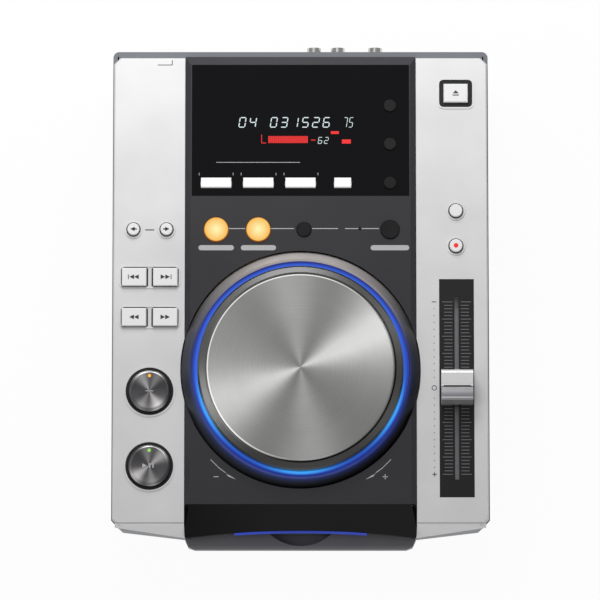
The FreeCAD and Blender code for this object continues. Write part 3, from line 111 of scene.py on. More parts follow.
# %% Sockets that can be added and multiplied
class Level:
    """A number that varies over a surface."""

    def __init__(self, tree, socket):
        self.tree = tree
        self.socket = socket

    def maths(self, operation, other, swap=False):
        """One Math node on this level and another level or number."""
        node = self.tree.nodes.new("ShaderNodeMath")
        node.operation = operation
        pair = (other, self) if swap else (self, other)
        for slot, item in zip(node.inputs, pair):
            plug(self.tree, item, slot)
        return Level(self.tree, node.outputs[0])

    def __add__(self, other):
        return self.maths("ADD", other)

    def __sub__(self, other):
        return self.maths("SUBTRACT", other)

    def __mul__(self, other):
        return self.maths("MULTIPLY", other)

    def __truediv__(self, other):
        return self.maths("DIVIDE", other)

    def __radd__(self, other):
        return self.maths("ADD", other, True)

    def __rsub__(self, other):
        return self.maths("SUBTRACT", other, True)

    def __rmul__(self, other):
        return self.maths("MULTIPLY", other, True)

    def power(self, exponent):
        return self.maths("POWER", exponent)

    def above(self, limit):
        return self.maths("GREATER_THAN", limit)


def plug(tree, item, slot):
    """Link a level's socket, or write a plain value."""
    if isinstance(item, Level):
        tree.links.new(item.socket, slot)
    else:
        slot.default_value = item


# %% [markdown]
# Each finish is one Principled shader. What is the same all over is written on the shader itself,
# and only what changes over the surface is linked. One method makes any other node. The Mix node
# has a row of sockets for each kind of value, and the numbers below pick out the colour's.

# %% A finish
MIX_FACTOR, MIX_FIRST, MIX_SECOND, MIX_RESULT = 0, 6, 7, 2


class Finish:
    """A named material with its shader and a way to add nodes."""

    def __init__(self, name, color, rough, **same):
        self.material = bpy.data.materials.new(name)
        self.material.use_nodes = True
        self.tree = self.material.node_tree
        self.shader = self.tree.nodes["Principled BSDF"]
        self.color = color
        self.shader.inputs["Base Color"].default_value = (*color, 1)
        self.shader.inputs["Roughness"].default_value = rough
        for key, value in same.items():
            self.shader.inputs[key.replace("_", " ")].default_value = value

    def node(self, kind, settings=None, out=0, **items):
        """Any node: its settings first, then the values or links of its sockets."""
        made = self.tree.nodes.new(kind)
        for key, value in (settings or {}).items():
            setattr(made, key, value)
        for key, value in items.items():
            plug(self.tree, value, made.inputs[key.replace("_", " ")])
        return Level(self.tree, made.outputs[out])

    def place(self):
        """Object coordinates, in metres."""
        return self.node("ShaderNodeTexCoord", out="Object")

    def noise(self, size, detail=2.0):
        """Soft noise with features of this size."""
        return self.node("ShaderNodeTexNoise", {"noise_dimensions": "3D"}, Vector=self.place(),
                         Scale=1 / size, Detail=detail)

    def ramp(self, level, start, end):
        """Runs from 0 where the level is at start to 1 where it is at end."""
        return self.node("ShaderNodeMapRange", Value=level, From_Min=start, From_Max=end)

    def blend(self, factor, first, second):
        """A colour between two colours."""
        made = self.tree.nodes.new("ShaderNodeMix")
        made.data_type = "RGBA"
        plug(self.tree, factor, made.inputs[MIX_FACTOR])
        for item, slot in ((first, MIX_FIRST), (second, MIX_SECOND)):
            plug(self.tree, item if isinstance(item, Level) else (*item, 1), made.inputs[slot])
        return Level(self.tree, made.outputs[MIX_RESULT])

    def paint(self, level):
        plug(self.tree, level, self.shader.inputs["Base Color"])
        return self

    def vary(self, amount, level):
        """Let the colour drift by this share either way."""
        dark = [c * (1 - amount) for c in self.color]
        pale = [min(1, c * (1 + amount)) for c in self.color]
        return self.paint(self.blend(level, dark, pale))

    def rough(self, level):
        plug(self.tree, level, self.shader.inputs["Roughness"])
        return self

    def bump(self, height, distance, strength=1.0):
        relief = self.node("ShaderNodeBump", Height=height, Distance=distance, Strength=strength)
        plug(self.tree, relief, self.shader.inputs["Normal"])
        return self

    def glow(self, color, strength=1.0):
        """Give off light: a colour level, or one colour all over."""
        item = color if isinstance(color, Level) else (*color, 1)
        plug(self.tree, item, self.shader.inputs["Emission Color"])
        self.shader.inputs["Emission Strength"].default_value = strength
        return self


# %% [markdown]
# Moulded and painted pieces are never one flat tone. A picture of a texture could show that, but it
# would blur up close, so two noises do it: a fine one makes the grain and a small relief, and a
# broad one lets the tone and the roughness drift a little over the whole face.

# %% Plastic and paint
BROAD = 30 * MM
DRIFT = 0.12


def moulded(name, color, rough, grain=0.25 * MM, depth=0.02 * MM, **same):
    """Plastic or paint with a fine even texture and a faint drift of tone."""
    made = Finish(name, color, rough, **same)
    fine = made.noise(grain, 3.0)
    broad = made.noise(BROAD)
    made.vary(DRIFT, fine * 0.5 + broad * 0.5)
    made.rough(rough - DRIFT / 2 + broad * DRIFT)
    return made.bump(fine, depth)


# %% [markdown]
# The side panels are plastic painted silver, so they have a satin, partly metallic sheen. The
# casing under them is blue-grey, and the deck in the middle is darker and less shiny. The window
# and the visor over the slot are gloss black, and differ in how much of the room they reflect.

# %% Finishes of the casing
finishes = {}
finishes["silver_paint"] = moulded("silver_paint", (0.76, 0.755, 0.76), 0.42, 0.35 * MM, 0.008 * MM,
                                   Metallic=0.3)
finishes["case_grey"] = moulded("case_grey", (0.16, 0.17, 0.19), 0.5, Metallic=0.2)
finishes["deck_grey"] = moulded("deck_grey", (0.034, 0.033, 0.038), 0.42, 0.3 * MM, 0.012 * MM,
                                Specular_IOR_Level=0.3)
finishes["gloss_window"] = moulded("gloss_window", (0.002, 0.002, 0.003), 0.1, 3 * MM, 0.001 * MM,
                                   Specular_IOR_Level=0.26)
finishes["gloss_black"] = moulded("gloss_black", (0.004, 0.004, 0.005), 0.14, 3 * MM, 0.001 * MM,
                                  Specular_IOR_Level=0.14)
finishes["black_plastic"] = moulded("black_plastic", (0.012, 0.012, 0.013), 0.45,
                                    Specular_IOR_Level=0.3)
finishes["black_steel"] = moulded("black_steel", (0.03, 0.03, 0.032), 0.5, 0.5 * MM, 0.03 * MM)
finishes["rubber"] = moulded("rubber", (0.02, 0.02, 0.02), 0.8, 0.5 * MM, 0.05 * MM)
finishes["felt"] = moulded("felt", (0.015, 0.015, 0.016), 0.95, 0.2 * MM, 0.1 * MM, Sheen_Weight=0.4)
print(len(finishes), "finishes of the casing")

# %% [markdown]
# Inside are zinc-plated sheet, ground steel rods, nickel jacks, a green circuit board and the glass
# of the display tube. Metal is told from plastic by Metallic alone, with the same noises on top.

# %% Finishes of the inside
finishes["zinc_steel"] = moulded("zinc_steel", (0.55, 0.56, 0.57), 0.38, 4 * MM, 0.004 * MM,
                                 Metallic=1.0)
finishes["machine_steel"] = moulded("machine_steel", (0.5, 0.5, 0.5), 0.3, 1 * MM, 0.004 * MM,
                                    Metallic=1.0)
finishes["jack_metal"] = moulded("jack_metal", (0.6, 0.6, 0.58), 0.2, 1 * MM, 0.002 * MM,
                                 Metallic=1.0)
finishes["board_green"] = moulded("board_green", (0.02, 0.11, 0.04), 0.4, 2 * MM, 0.01 * MM)
finishes["tube_glass"] = moulded("tube_glass", (0.1, 0.12, 0.12), 0.1, 2 * MM, 0.001 * MM)
print(len(finishes), "finishes with the inside")

# %% [markdown]
# The keys are silver, white or black plastic. The white ones over the window look lit even in
# daylight. A lamp under each would need clear plastic and a long render, so they glow faintly.

# %% Finishes of the keys
finishes["cap_silver"] = moulded("cap_silver", (0.62, 0.62, 0.63), 0.26, 0.5 * MM, 0.004 * MM,
                                 Metallic=0.8)
finishes["button_silver"] = moulded("button_silver", (0.86, 0.86, 0.86), 0.34, 0.5 * MM, 0.003 * MM)
finishes["button_white"] = moulded("button_white", (0.86, 0.86, 0.86), 0.3, 1 * MM, 0.002 * MM)
finishes["button_white"].glow((1, 1, 1), 0.25)
finishes["button_black"] = moulded("button_black", (0.008, 0.008, 0.009), 0.28, 0.6 * MM,
                                   0.003 * MM, Specular_IOR_Level=0.35)
print(len(finishes), "finishes with the keys")

# %% [markdown]
# Round pieces need finishes that follow the circle. These helpers give the place on a surface, its
# distance from a centre, and how nearly it faces a direction: 1 straight towards it, -1 away.


# %% Places about a centre
def place_about(made, centre):
    """Position along X and Y from a centre, as two levels."""
    where = made.place()
    axes = made.tree.nodes.new("ShaderNodeSeparateXYZ")
    made.tree.links.new(where.socket, axes.inputs[0])
    return Level(made.tree, axes.outputs[0]) - centre.x, Level(made.tree, axes.outputs[1]) - centre.y


def distance_of(x, y):
    """Distance from the centre."""
    return (x * x + y * y).power(0.5)


def facing(x, y, radius, degrees):
    """Cosine of the angle between a place and a direction."""
    turn = math.radians(degrees)
    return (x * math.cos(turn) + y * math.sin(turn)) / radius


# %% [markdown]
# The ring round the wheel is clear blue plastic over blue lamps. It glows all the way round, most
# at its inner edge, and turns cyan where a lamp sits: at the front and to both sides of it. Real
# lamps below it would be slow to render, so its emission follows the angle round the wheel.

# %% Blue ring
RING_LAMPS = ((204, 0.9), (270, 1.0), (334, 0.9))
RING_LAMP_NARROW = 28.0
RING_GLOW_START, RING_GLOW_FULL = 61.6 * MM, 60.1 * MM
BLACK = (0, 0, 0)


def blue_light():
    """Clear blue plastic over blue lamps."""
    made = Finish("blue_light", (0.03, 0.07, 0.5), 0.3)
    x, y = place_about(made, JOG)
    radius = distance_of(x, y)
    inner = made.ramp(radius, RING_GLOW_START, RING_GLOW_FULL)
    spots = 0.1 + 0.1 * made.noise(24 * MM)
    for degrees, strength in RING_LAMPS:
        towards = facing(x, y, radius, degrees).maths("MAXIMUM", 0.0)
        spots = spots + strength * towards.power(RING_LAMP_NARROW)
    edge = made.blend(inner, (0.006, 0.012, 0.12), (0.015, 0.04, 0.34))
    return made.glow(made.blend(inner * spots, edge, (0.05, 0.36, 0.85)))


finishes["blue_light"] = blue_light()
print("blue ring with", len(RING_LAMPS), "lamps")

# %% [markdown]
# The two amber keys are frosted domes with a lamp under each. The light is palest in the middle and
# deeper at the edge, with a dark brown rim. Both keys share one finish: the distance to the nearer
# key comes from folding the surface over the line halfway between them.

# %% Amber keys
AMBER_MIDDLE, AMBER_EDGE, AMBER_RIM = 0.5 * MM, 7.6 * MM, 6.75 * MM


def amber_key():
    """Amber keys, lit from the middle out."""
    made = Finish("button_amber", (0.12, 0.05, 0.01), 0.35, Specular_IOR_Level=0.2)
    pair = (middle("loop_in_button") + middle("loop_out_button")) / 2
    half = abs(middle("loop_in_button").x - pair.x)
    x, y = place_about(made, pair)
    x = x.maths("ABSOLUTE", 0.0) - half
    radius = distance_of(x, y)
    outward = made.ramp(radius + 1.5 * MM * made.noise(3 * MM), AMBER_MIDDLE, AMBER_EDGE)
    hot = made.blend(outward, (1.0, 1.0, 0.52), (0.92, 0.5, 0.09))
    return made.glow(made.blend(radius.above(AMBER_RIM), hot, (0.28, 0.08, 0.01)), 0.9)


finishes["button_amber"] = amber_key()
print(len(finishes), "finishes with the lit pieces")

# %% [markdown]
# Prints and small lamps are so thin that one tone with a slight drift is enough for each.


# %% Inks and small lamps
def lamp_finish(name, color, strength):
    """A small lamp or a lit segment."""
    made = Finish(name, tuple(0.3 * c for c in color), 0.3)
    made.vary(0.2, made.noise(1 * MM))
    return made.glow(color, strength)


def print_ink(name, color):
    """Screen printing, thin and matt."""
    made = Finish(name, color, 0.5)
    return made.vary(0.1, made.noise(0.4 * MM))


dark_ink = print_ink("dark_ink", (0.03, 0.03, 0.035))
pale_ink = print_ink("pale_ink", (0.5, 0.5, 0.52))
segment_glow = lamp_finish("segment_glow", (0.72, 0.85, 0.86), 0.75)
red_glow = lamp_finish("red_glow", (0.85, 0.02, 0.02), 0.8)
amber_glow = lamp_finish("amber_glow", (1.0, 0.45, 0.05), 0.9)
green_glow = lamp_finish("green_glow", (0.3, 0.75, 0.1), 0.8)
dull_pill = print_ink("dull_pill", (0.46, 0.46, 0.47))
print("inks and lamps ready")

# %% [markdown]
# The wheel's disc is aluminium brushed in circles. Such a disc shows pairs of fans of light that
# meet at its middle, one pair strong and one weak. Anisotropic reflection alone gives fans that
# move with the room, so they are also painted in: the cosine of the angle to each pair, raised to a
# power that sets how narrow the pair is. Fine rings of noise change the tone and the roughness.

# %% Turned metal
STRONG_NARROW, WEAK_NARROW, WEAK_SHARE = 7.0, 9.0, 0.5
RING_SHARE, CLOUD_SHARE = 0.3, 0.16
CENTRE_GAP = 0.01 * MM
EDGE_HIGHLIGHT_FROM = 150
NO_EDGE_HIGHLIGHT = 1.0


def fan(x, y, radius, degrees, narrow):
    """A pair of opposite fans of light at an angle, from 0 to 1."""
    towards = facing(x, y, radius, degrees)
    return (towards * towards).power(narrow)


def turned(name, dark, pale, rough, centre, ring_size, strong, weak, edge_highlight_at=NO_EDGE_HIGHLIGHT):
    """Metal brushed in circles about an upright axis, with two pairs of fans of light painted in.

    Past a given radius its chamfer gets a painted highlight, a glow on the side at a set angle.
    """
    made = Finish(name, dark, rough, Metallic=1.0, Anisotropic=0.5)
    x, y = place_about(made, centre)
    radius = distance_of(x, y) + CENTRE_GAP
    rings = made.node("ShaderNodeTexNoise", {"noise_dimensions": "1D"}, W=radius / ring_size,
                      Scale=1.0, Detail=3.0)
    cloud = made.noise(22 * MM)
    light = fan(x, y, radius, strong, STRONG_NARROW) + WEAK_SHARE * fan(x, y, radius, weak, WEAK_NARROW)
    light = light * (0.85 + 0.3 * cloud) + RING_SHARE * (rings - 0.5) + CLOUD_SHARE * (cloud - 0.3)
    made.paint(made.blend(light, dark, pale))
    made.rough(rough - DRIFT / 2 + rings * DRIFT)
    # Painted highlight: past the given radius the chamfer glows on one side.
    lit_side = made.ramp(facing(x, y, radius, EDGE_HIGHLIGHT_FROM), -0.45, 0.25)
    made.glow(made.blend(radius.above(edge_highlight_at) * lit_side, BLACK, (0.62, 0.62, 0.6)))
    return made.bump(rings, 0.003 * MM, 0.4)


# %% [markdown]
# The disc is the brightest of the turned pieces. Its rim is the same metal, darker and with finer
# rings. The two big keys are darker still between their fans, and each has its own angles.

# %% Disc, rim and big keys
# Only the disc's chamfer gets the painted highlight; the rim and the keys get none.
finishes["brushed_disc"] = turned("brushed_disc", (0.4, 0.4, 0.395), (1.0, 1.0, 0.99), 0.36, JOG,
                                  0.5 * MM, 27, 97, JOG_R - 0.75 * MM)
finishes["rim_grey"] = turned("rim_grey", (0.1, 0.1, 0.1), (0.3, 0.3, 0.295), 0.36, JOG, 0.3 * MM,
                              205, 150)
own_finish = {}
for node, strong, weak in (("cue_button", 118, 62), ("play_button", 40, 100)):
    own_finish[node] = turned("spun_" + node, (0.09, 0.088, 0.095), (0.75, 0.73, 0.73), 0.34,
                              middle(node), 0.2 * MM, strong, weak)
print("turned disc, rim and", len(own_finish), "keys")

# %% [markdown]
# The bezel round the wheel is a cone of satin dark metal. At the rear it leans towards the sky and
# looks pale, at the right it is almost black, and near the ring it picks up blue. A plain metal
# would need the photographer's whole room round it, so the reflection is painted instead: its colour
# follows the angle, and the blue near the ring is a painted glow.

# %% Bezel
SPILL_START, SPILL_FULL = 66.5 * MM, 62.0 * MM


def bezel_finish():
    """Satin dark metal with a painted reflection, pale at the rear, and a painted blue glow beside the
    ring.
    """
    made = Finish("bezel_black", (0.1, 0.1, 0.11), 0.4, Metallic=0.6)
    x, y = place_about(made, JOG)
    radius = distance_of(x, y)
    # Painted reflection: pale where the cone leans to the rear, near black at the right.
    to_rear = made.ramp(y / radius + 0.06 * made.noise(20 * MM), 0.1, 1.0)
    to_right = made.ramp(x / radius - y / radius, -0.4, 1.4)
    side = made.blend(to_right, (0.055, 0.062, 0.078), (0.012, 0.013, 0.018))
    rear = (to_rear * to_rear).maths("MINIMUM", 1.0)
    made.paint(made.blend(rear, side, (0.75, 0.7, 0.68)))
    made.rough(0.34 + 0.12 * made.noise(8 * MM))
    # Painted blue glow near the ring, strongest at the front.
    near_ring = made.ramp(radius, SPILL_START, SPILL_FULL)
    to_front = made.ramp(y / radius, 0.9, -0.9)
    return made.glow(made.blend(near_ring * near_ring * to_front, BLACK, (0.01, 0.035, 0.3)))


finishes["bezel_black"] = bezel_finish()
print(len(finishes), "finishes in all")

# %% [markdown]
# The fader's cap is satin metal with a groove across. Its colour holds painted light: a painted
# highlight behind the groove, and painted shade where the top falls away in front of it. The lip
# under the disc slot is painted a lighter grey than the deck, as painted light where the visor
# shades it from the rear lamp. Both get a finish of their own.

# %% Fader cap and lip
SHADE_START, SHADE_FULL = -0.5 * MM, -5.5 * MM
END_START, END_FULL = -6.0 * MM, -9.0 * MM


def fader_finish():
    """Satin metal: a painted highlight behind the groove, and painted shade in front of it."""
    made = Finish("fader_metal", (0.8, 0.8, 0.8), 0.3, Metallic=0.45)
    y = place_about(made, middle("fader_cap"))[1]
    # Painted shade in front of the groove, lighter again at the front end; a painted highlight behind.
    hollow_painted_shade = made.blend(made.ramp(y, SHADE_START, SHADE_FULL), (0.26, 0.26, 0.27), (0.06, 0.06, 0.07))
    front = made.blend(made.ramp(y, END_START, END_FULL), hollow_painted_shade, (0.42, 0.42, 0.43))
    made.paint(made.blend(y.above(0.0), front, (1.0, 1.0, 1.0)))
    return made.rough(0.26 + 0.1 * made.noise(0.6 * MM))


own_finish["fader_cap"] = fader_finish()
# Painted light: the lip takes a lighter grey than the deck's, where the visor shades it.
own_finish["lower_lip"] = moulded("lip_painted_lighter", (0.17, 0.166, 0.18), 0.45)
print(len(own_finish), "nodes with a finish of their own")

# %% [markdown]
# Every node of the frame takes its own finish where it has one, and otherwise the finish of its
# slot in the record. Its mesh isn't touched.

# %% Dress the frame
slot_of = {row["node"]: row["material_slot"] for row in frame["record"]["subparts"]}
for node, thing in frame["nodes"].items():
    finish = own_finish.get(node) or finishes[slot_of[node]]
    thing.data.materials.clear()
    thing.data.materials.append(finish.material)
print(len(slot_of), "nodes dressed")

# %% [markdown]
# New pieces are small closed meshes, so that they export as solid things. Each is told which body
# it moves with and which slot it belongs to. Everything on a key rides on the key's body, which has
# the key's name without its last word.


# %% Add a piece
def body_of(node):
    """The body that a key moves with."""
    return node.removesuffix("_button")


def add_piece(name, shape, finish, body):
    """Turn a shape into a mesh in the scene, on a body."""
    bmesh.ops.recalc_face_normals(shape, faces=shape.faces)
    mesh = bpy.data.meshes.new(name)
    shape.to_mesh(mesh)
    shape.free()
    thing = bpy.data.objects.new(name, mesh)
    bpy.context.scene.collection.objects.link(thing)
    mesh.materials.append(finish.material)
    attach(thing, body)
    return thing


# %% [markdown]
# A print is an outline with a little thickness, half of it above the surface and half below. A
# curve object could do it too, but a plate from an outline is closed and has very few corners. A
# round cap is a profile turned about its axis, as on a lathe.

# %% Plates and turned shapes
PRINT_T = 0.06 * MM
TURN_STEPS = 96


def flat_piece(name, outlines, z, finish, body="root", thick=PRINT_T):
    """Closed plates, one for each outline in X and Y."""
    shape = bmesh.new()
    for outline in outlines:
        bottom = [shape.verts.new((x, y, z - thick)) for x, y in outline]
        top = [shape.verts.new((x, y, z + thick)) for x, y in outline]
        shape.faces.new(top)
        shape.faces.new(list(reversed(bottom)))
        for i in range(len(outline)):
            j = (i + 1) % len(outline)
            shape.faces.new((bottom[i], bottom[j], top[j], top[i]))
    return add_piece(name, shape, finish, body)


def turned_piece(name, profile, centre, finish, body):
    """A closed profile of radius and height turned about an upright axis."""
    shape = bmesh.new()
    angles = [2 * math.pi * i / TURN_STEPS for i in range(TURN_STEPS)]
    rows = []
    for r, z in profile:
        if r == 0:
            rows.append([shape.verts.new((centre.x, centre.y, z))])
        else:
            rows.append([shape.verts.new((centre.x + r * math.cos(a), centre.y + r * math.sin(a), z))
                         for a in angles])
    for one, two in zip(rows, rows[1:]):
        for i in range(TURN_STEPS):
            j = (i + 1) % TURN_STEPS
            ring = [one[i % len(one)], one[j % len(one)], two[j % len(two)], two[i % len(two)]]
            shape.faces.new(list(dict.fromkeys(ring))).smooth = True
    return add_piece(name, shape, finish, body)


# %% [markdown]
# Nearly all the prints are made of five outlines: a bar, a dot, a thin circle, a triangle and a
# pill. Each is a list of corners, so one print can join as many as it needs.

# %% Outlines
DOT_STEPS = 24
HOOP_STEPS = 32
PILL_STEPS = 8


def bar(x0, y0, x1, y1, width):
    """Outline of a straight line with a width."""
    along = Vector((x1 - x0, y1 - y0))
    side = Vector((-along.y, along.x)).normalized() * width / 2
    a = Vector((x0, y0))
    b = Vector((x1, y1))
    return [tuple(p) for p in (a + side, a - side, b - side, b + side)]


def dot(x, y, r):
    """Outline of a round dot."""
    angles = [2 * math.pi * i / DOT_STEPS for i in range(DOT_STEPS)]
    return [(x + r * math.cos(a), y + r * math.sin(a)) for a in angles]


def hoop(x, y, r, width):
    """Outlines of a thin circle, one for each step round it."""
    made = []
    for i in range(HOOP_STEPS):
        a, b = (2 * math.pi * k / HOOP_STEPS for k in (i, i + 1))
        made.append([(x + q * math.cos(t), y + q * math.sin(t))
                     for q, t in ((r, a), (r + width, a), (r + width, b), (r, b))])
    return made


def arrow(x, y, size, turn):
    """A filled triangle that points right, or left when turn is -1."""
    return [(x - turn * size / 2, y - size / 2), (x + turn * size / 2, y),
            (x - turn * size / 2, y + size / 2)]


def pill(x0, x1, y, h):
    """Outline of a bar with round ends."""
    r = h / 2
    angles = [math.pi * (k / PILL_STEPS - 0.5) for k in range(PILL_STEPS + 1)]
    return [(x + s * r * math.cos(t), y + s * r * math.sin(t))
            for x, s in ((x1 - r, 1), (x0 + r, -1)) for t in angles]


# %% [markdown]
# The photograph gives where the prints are. A pixel is turned into a place on the panel or on the
# deck, which stands higher and so appears a little further back.

# %% From the photograph to the surface
LEAN = math.cos(TILT)
PRINT_WIDTH = 0.45 * MM


def spot(px, py, z):
    """Place on the surface at height z that shows at this pixel."""
    x = AIM.x + (px - PIXELS / 2) * PIXEL
    y = AIM.y - (py - PIXELS / 2) * PIXEL / math.sin(TILT) - (z - AIM.z) * LEAN / math.sin(TILT)
    return x, y


def line(px0, py0, px1, py1, z, width=PRINT_WIDTH):
    """A printed line between two pixels."""
    return bar(*spot(px0, py0, z), *spot(px1, py1, z), width)


# %% [markdown]
# The four oblong keys sit in shallow wells whose rims fall into shade and look like thin dark
# frames. Cutting the wells into the panel would give that shade, but its mesh is fixed, so the shade
# is painted: each is a low dark ring of eight plates with its corners cut off.

# %% Painted shade round the oblong keys
SHADE_RING_GAP = 0.1 * MM
SHADE_RING_WIDTH = 0.75 * MM
SHADE_RING_T = 0.12 * MM
SHADE_RING_CUT = 0.8 * MM
FLANGE = 1.2 * MM
SKIP_KEYS = [(word, name) for word in ("track", "search") for name in ("back", "next")]


def eight_corners(centre, across, along):
    """A rectangle with cut corners, from the two ends of the cut at its upper right."""
    (ax, ay), (bx, by) = across, along
    loop = [(ax, -ay), (ax, ay), (bx, by), (-bx, by), (-ax, ay), (-ax, -ay), (-bx, -by), (bx, -by)]
    return [(centre.x + x, centre.y + y) for x, y in loop]


def well_shade_round(node):
    """Outlines of a thin ring of painted shade round a rectangular key."""
    c = middle(node)
    half_x = (high(node).x - low(node).x) / 2 - FLANGE + SHADE_RING_GAP
    half_y = (high(node).y - low(node).y) / 2 + SHADE_RING_GAP
    inner = eight_corners(c, (half_x, half_y - SHADE_RING_CUT), (half_x - SHADE_RING_CUT, half_y))
    out_x = half_x + SHADE_RING_WIDTH
    out_y = half_y + SHADE_RING_WIDTH
    out_cut = 1.5 * SHADE_RING_CUT
    outer = eight_corners(c, (out_x, out_y - out_cut), (out_x - out_cut, out_y))
    return [[inner[i], outer[i], outer[(i + 1) % 8], inner[(i + 1) % 8]] for i in range(8)]


# Painted shade: dark plates over the shaded rims of the wells.
well_shades = [plate for word, name in SKIP_KEYS for plate in well_shade_round(word + "_" + name + "_button")]
flat_piece("key_well_shade", well_shades, PANEL_Z + SHADE_RING_T, finishes["button_black"], thick=SHADE_RING_T)
print(len(well_shades), "plates in the key frames")

# %% [markdown]
# The symbols on the keys are the usual ones for skip, search, play, pause and eject. They are
# printed, so they move with their keys.

# %% Symbols on the skip keys
SYMBOL = 2.7 * MM
SYMBOL_PITCH = 1.35 * MM
STOP_BAR = 3.3 * MM


def key_print(node, outlines, finish=dark_ink):
    """Print on a key's top face."""
    return flat_piece(node + "_print", outlines, high(node).z, finish, body_of(node))


for word, name in SKIP_KEYS:
    node = word + "_" + name + "_button"
    turn = -1 if name == "back" else 1
    c = middle(node)
    marks = [arrow(c.x + k * SYMBOL_PITCH, c.y, SYMBOL, turn) for k in (-1, 1)]
    if word == "track":
        edge = c.x + turn * STOP_BAR
        marks.append(bar(edge, c.y - SYMBOL / 2, edge, c.y + SYMBOL / 2, PRINT_WIDTH))
    key_print(node, marks)
print(len(SKIP_KEYS), "skip keys printed")

# %% [markdown]
# The small round keys carry an arrow with a shaft, the eject key a triangle over a bar, and one
# silver key a red dot.

# %% Symbols on the other keys
for name, turn in (("back", -1), ("next", 1)):
    node = "folder_" + name + "_button"
    c = middle(node)
    key_print(node, [arrow(c.x + turn * 0.5 * MM, c.y, 2.5 * MM, turn),
                     bar(c.x - turn * 2.0 * MM, c.y, c.x, c.y, 0.7 * MM)])
EJECT_HALF = 1.8 * MM
c = middle("eject_button")
triangle = [(c.x - EJECT_HALF, c.y - 0.2 * MM), (c.x + EJECT_HALF, c.y - 0.2 * MM), (c.x, c.y + 1.6 * MM)]
key_print("eject_button", [triangle, bar(c.x - EJECT_HALF, c.y - 1.2 * MM,
                                         c.x + EJECT_HALF, c.y - 1.2 * MM, 0.6 * MM)])
c = middle("master_tempo_button")
key_print("master_tempo_button", [dot(c.x, c.y, 1.35 * MM)], red_glow)
print("round keys printed")

# %% [markdown]
# The two big keys are spun metal caps with a rounded shoulder and a shallow dish. The frame's caps
# are plain, so finer ones replace them inside the same space, each with its printed symbol and a
# small lamp towards the rear. The profile runs from the stem's foot, out under the skirt, up and
# over the shoulder and back to the middle.

# %% Big keys
STEM_R = 2 * MM
SKIRT = 6.2 * MM
SHOULDER = 1.6 * MM
SHOULDER_DROP = 1.7 * MM
SHOULDER_STEPS = 8
LAMP_BACK = 8.8 * MM


def big_key(node, lamp, marks):
    """Dished metal cap in place of the plain one."""
    c = middle(node)
    r = (high(node).y - low(node).y) / 2
    top = high(node).z
    profile = [(0, low(node).z), (STEM_R, low(node).z), (STEM_R, top - SKIRT), (r, top - SKIRT),
               (r, top - SHOULDER_DROP)]
    for k in range(SHOULDER_STEPS + 1):
        t = math.pi / 2 * k / SHOULDER_STEPS
        profile.append((r - SHOULDER * (1 - math.cos(t)), top - SHOULDER * (1 - math.sin(t))))
    profile += [(r - 2.3 * MM, top - 0.1 * MM), (r * 0.6, top - 0.55 * MM), (r * 0.3, top - 0.7 * MM),
                (0, top - 0.75 * MM)]
    cap = turned_piece(node + "_cap", profile, c, own_finish[node], body_of(node))
    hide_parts(node)
    flat_piece(node + "_symbol", marks, top - 0.66 * MM, pale_ink, body_of(node))
    flat_piece(node + "_lamp", [dot(c.x, c.y + LAMP_BACK, 0.95 * MM)], top - 0.32 * MM, lamp,
               body_of(node), 0.25 * MM)


c = middle("cue_button")
big_key("cue_button", amber_glow, [bar(c.x - 2.2 * MM, c.y, c.x + 2.2 * MM, c.y, 0.5 * MM)])
c = middle("play_button")
pause = [bar(c.x + k * MM, c.y - 1.3 * MM, c.x + k * MM, c.y + 1.3 * MM, 0.7 * MM) for k in (0.4, 2.2)]
slash = bar(c.x - 0.7 * MM, c.y - 1.4 * MM, c.x - 0.2 * MM, c.y + 1.4 * MM, 0.25 * MM)
big_key("play_button", green_glow, [arrow(c.x - 2.6 * MM, c.y, 2.6 * MM, 1)] + pause + [slash])
print("two big keys with their lamps")

# %% [markdown]
# The fader's scale has a tick every two millimetres and a longer one at every fifth. A texture
# could draw them, but ticks with a shape stay sharp and follow the plate when the casing changes.

# %% Fader ticks
fader = middle("fader_scale_plate")
TICKS = 51
TICK_SPAN = 100 * MM
TICK_INSIDE = 2.4 * MM
LONG_REACH, SHORT_REACH = 8.3 * MM, 7.2 * MM
ticks = []
for i in range(TICKS):
    y = fader.y + TICK_SPAN * (0.5 - i / (TICKS - 1))
    reach = LONG_REACH if i % 5 == 0 else SHORT_REACH
    for turn in (-1, 1):
        ticks.append(bar(fader.x + turn * TICK_INSIDE, y, fader.x + turn * reach, y, 0.4 * MM))
flat_piece("fader_ticks", ticks, PANEL_Z, print_ink("tick_ink", (0.16, 0.16, 0.17)))
print(len(ticks), "ticks")

# %% [markdown]
# Beside the scale stands a column of dots, one for each second tick, between a minus at the rear
# and a plus at the front, with a ring at zero. The cap has a black line along its groove, and the
# line rides on the cap.

# %% Fader column and mark
COLUMN_PX = 434
SIGN = 1.3 * MM
GROOVE_DEPTH = 2.94 * MM
column = []
dot_x = spot(COLUMN_PX, 0, PANEL_Z)[0]
for i in range(TICKS // 2 + 1):
    y = fader.y + TICK_SPAN * (0.5 - 2 * i / (TICKS - 1))
    if abs(y - fader.y) > 3 * MM and abs(abs(y - fader.y) - TICK_SPAN / 2) > 2 * MM:
        column.append(dot(dot_x, y, 0.28 * MM))
front_y = fader.y - TICK_SPAN / 2
for y in (fader.y + TICK_SPAN / 2, front_y):
    column.append(bar(dot_x - SIGN, y, dot_x + SIGN, y, PRINT_WIDTH))
column.append(bar(dot_x, front_y - SIGN, dot_x, front_y + SIGN, PRINT_WIDTH))
column += hoop(dot_x, fader.y, 1.1 * MM, 0.4 * MM)
flat_piece("fader_column", column, PANEL_Z, dark_ink)
cap = middle("fader_cap")
cap_half = (high("fader_cap").x - low("fader_cap").x) / 2 - 1.2 * MM
flat_piece("fader_mark", [bar(cap.x - cap_half, cap.y, cap.x + cap_half, cap.y, 0.7 * MM)],
           high("fader_cap").z - GROOVE_DEPTH, finishes["button_black"], "fader")
print(len(column), "marks in the column")

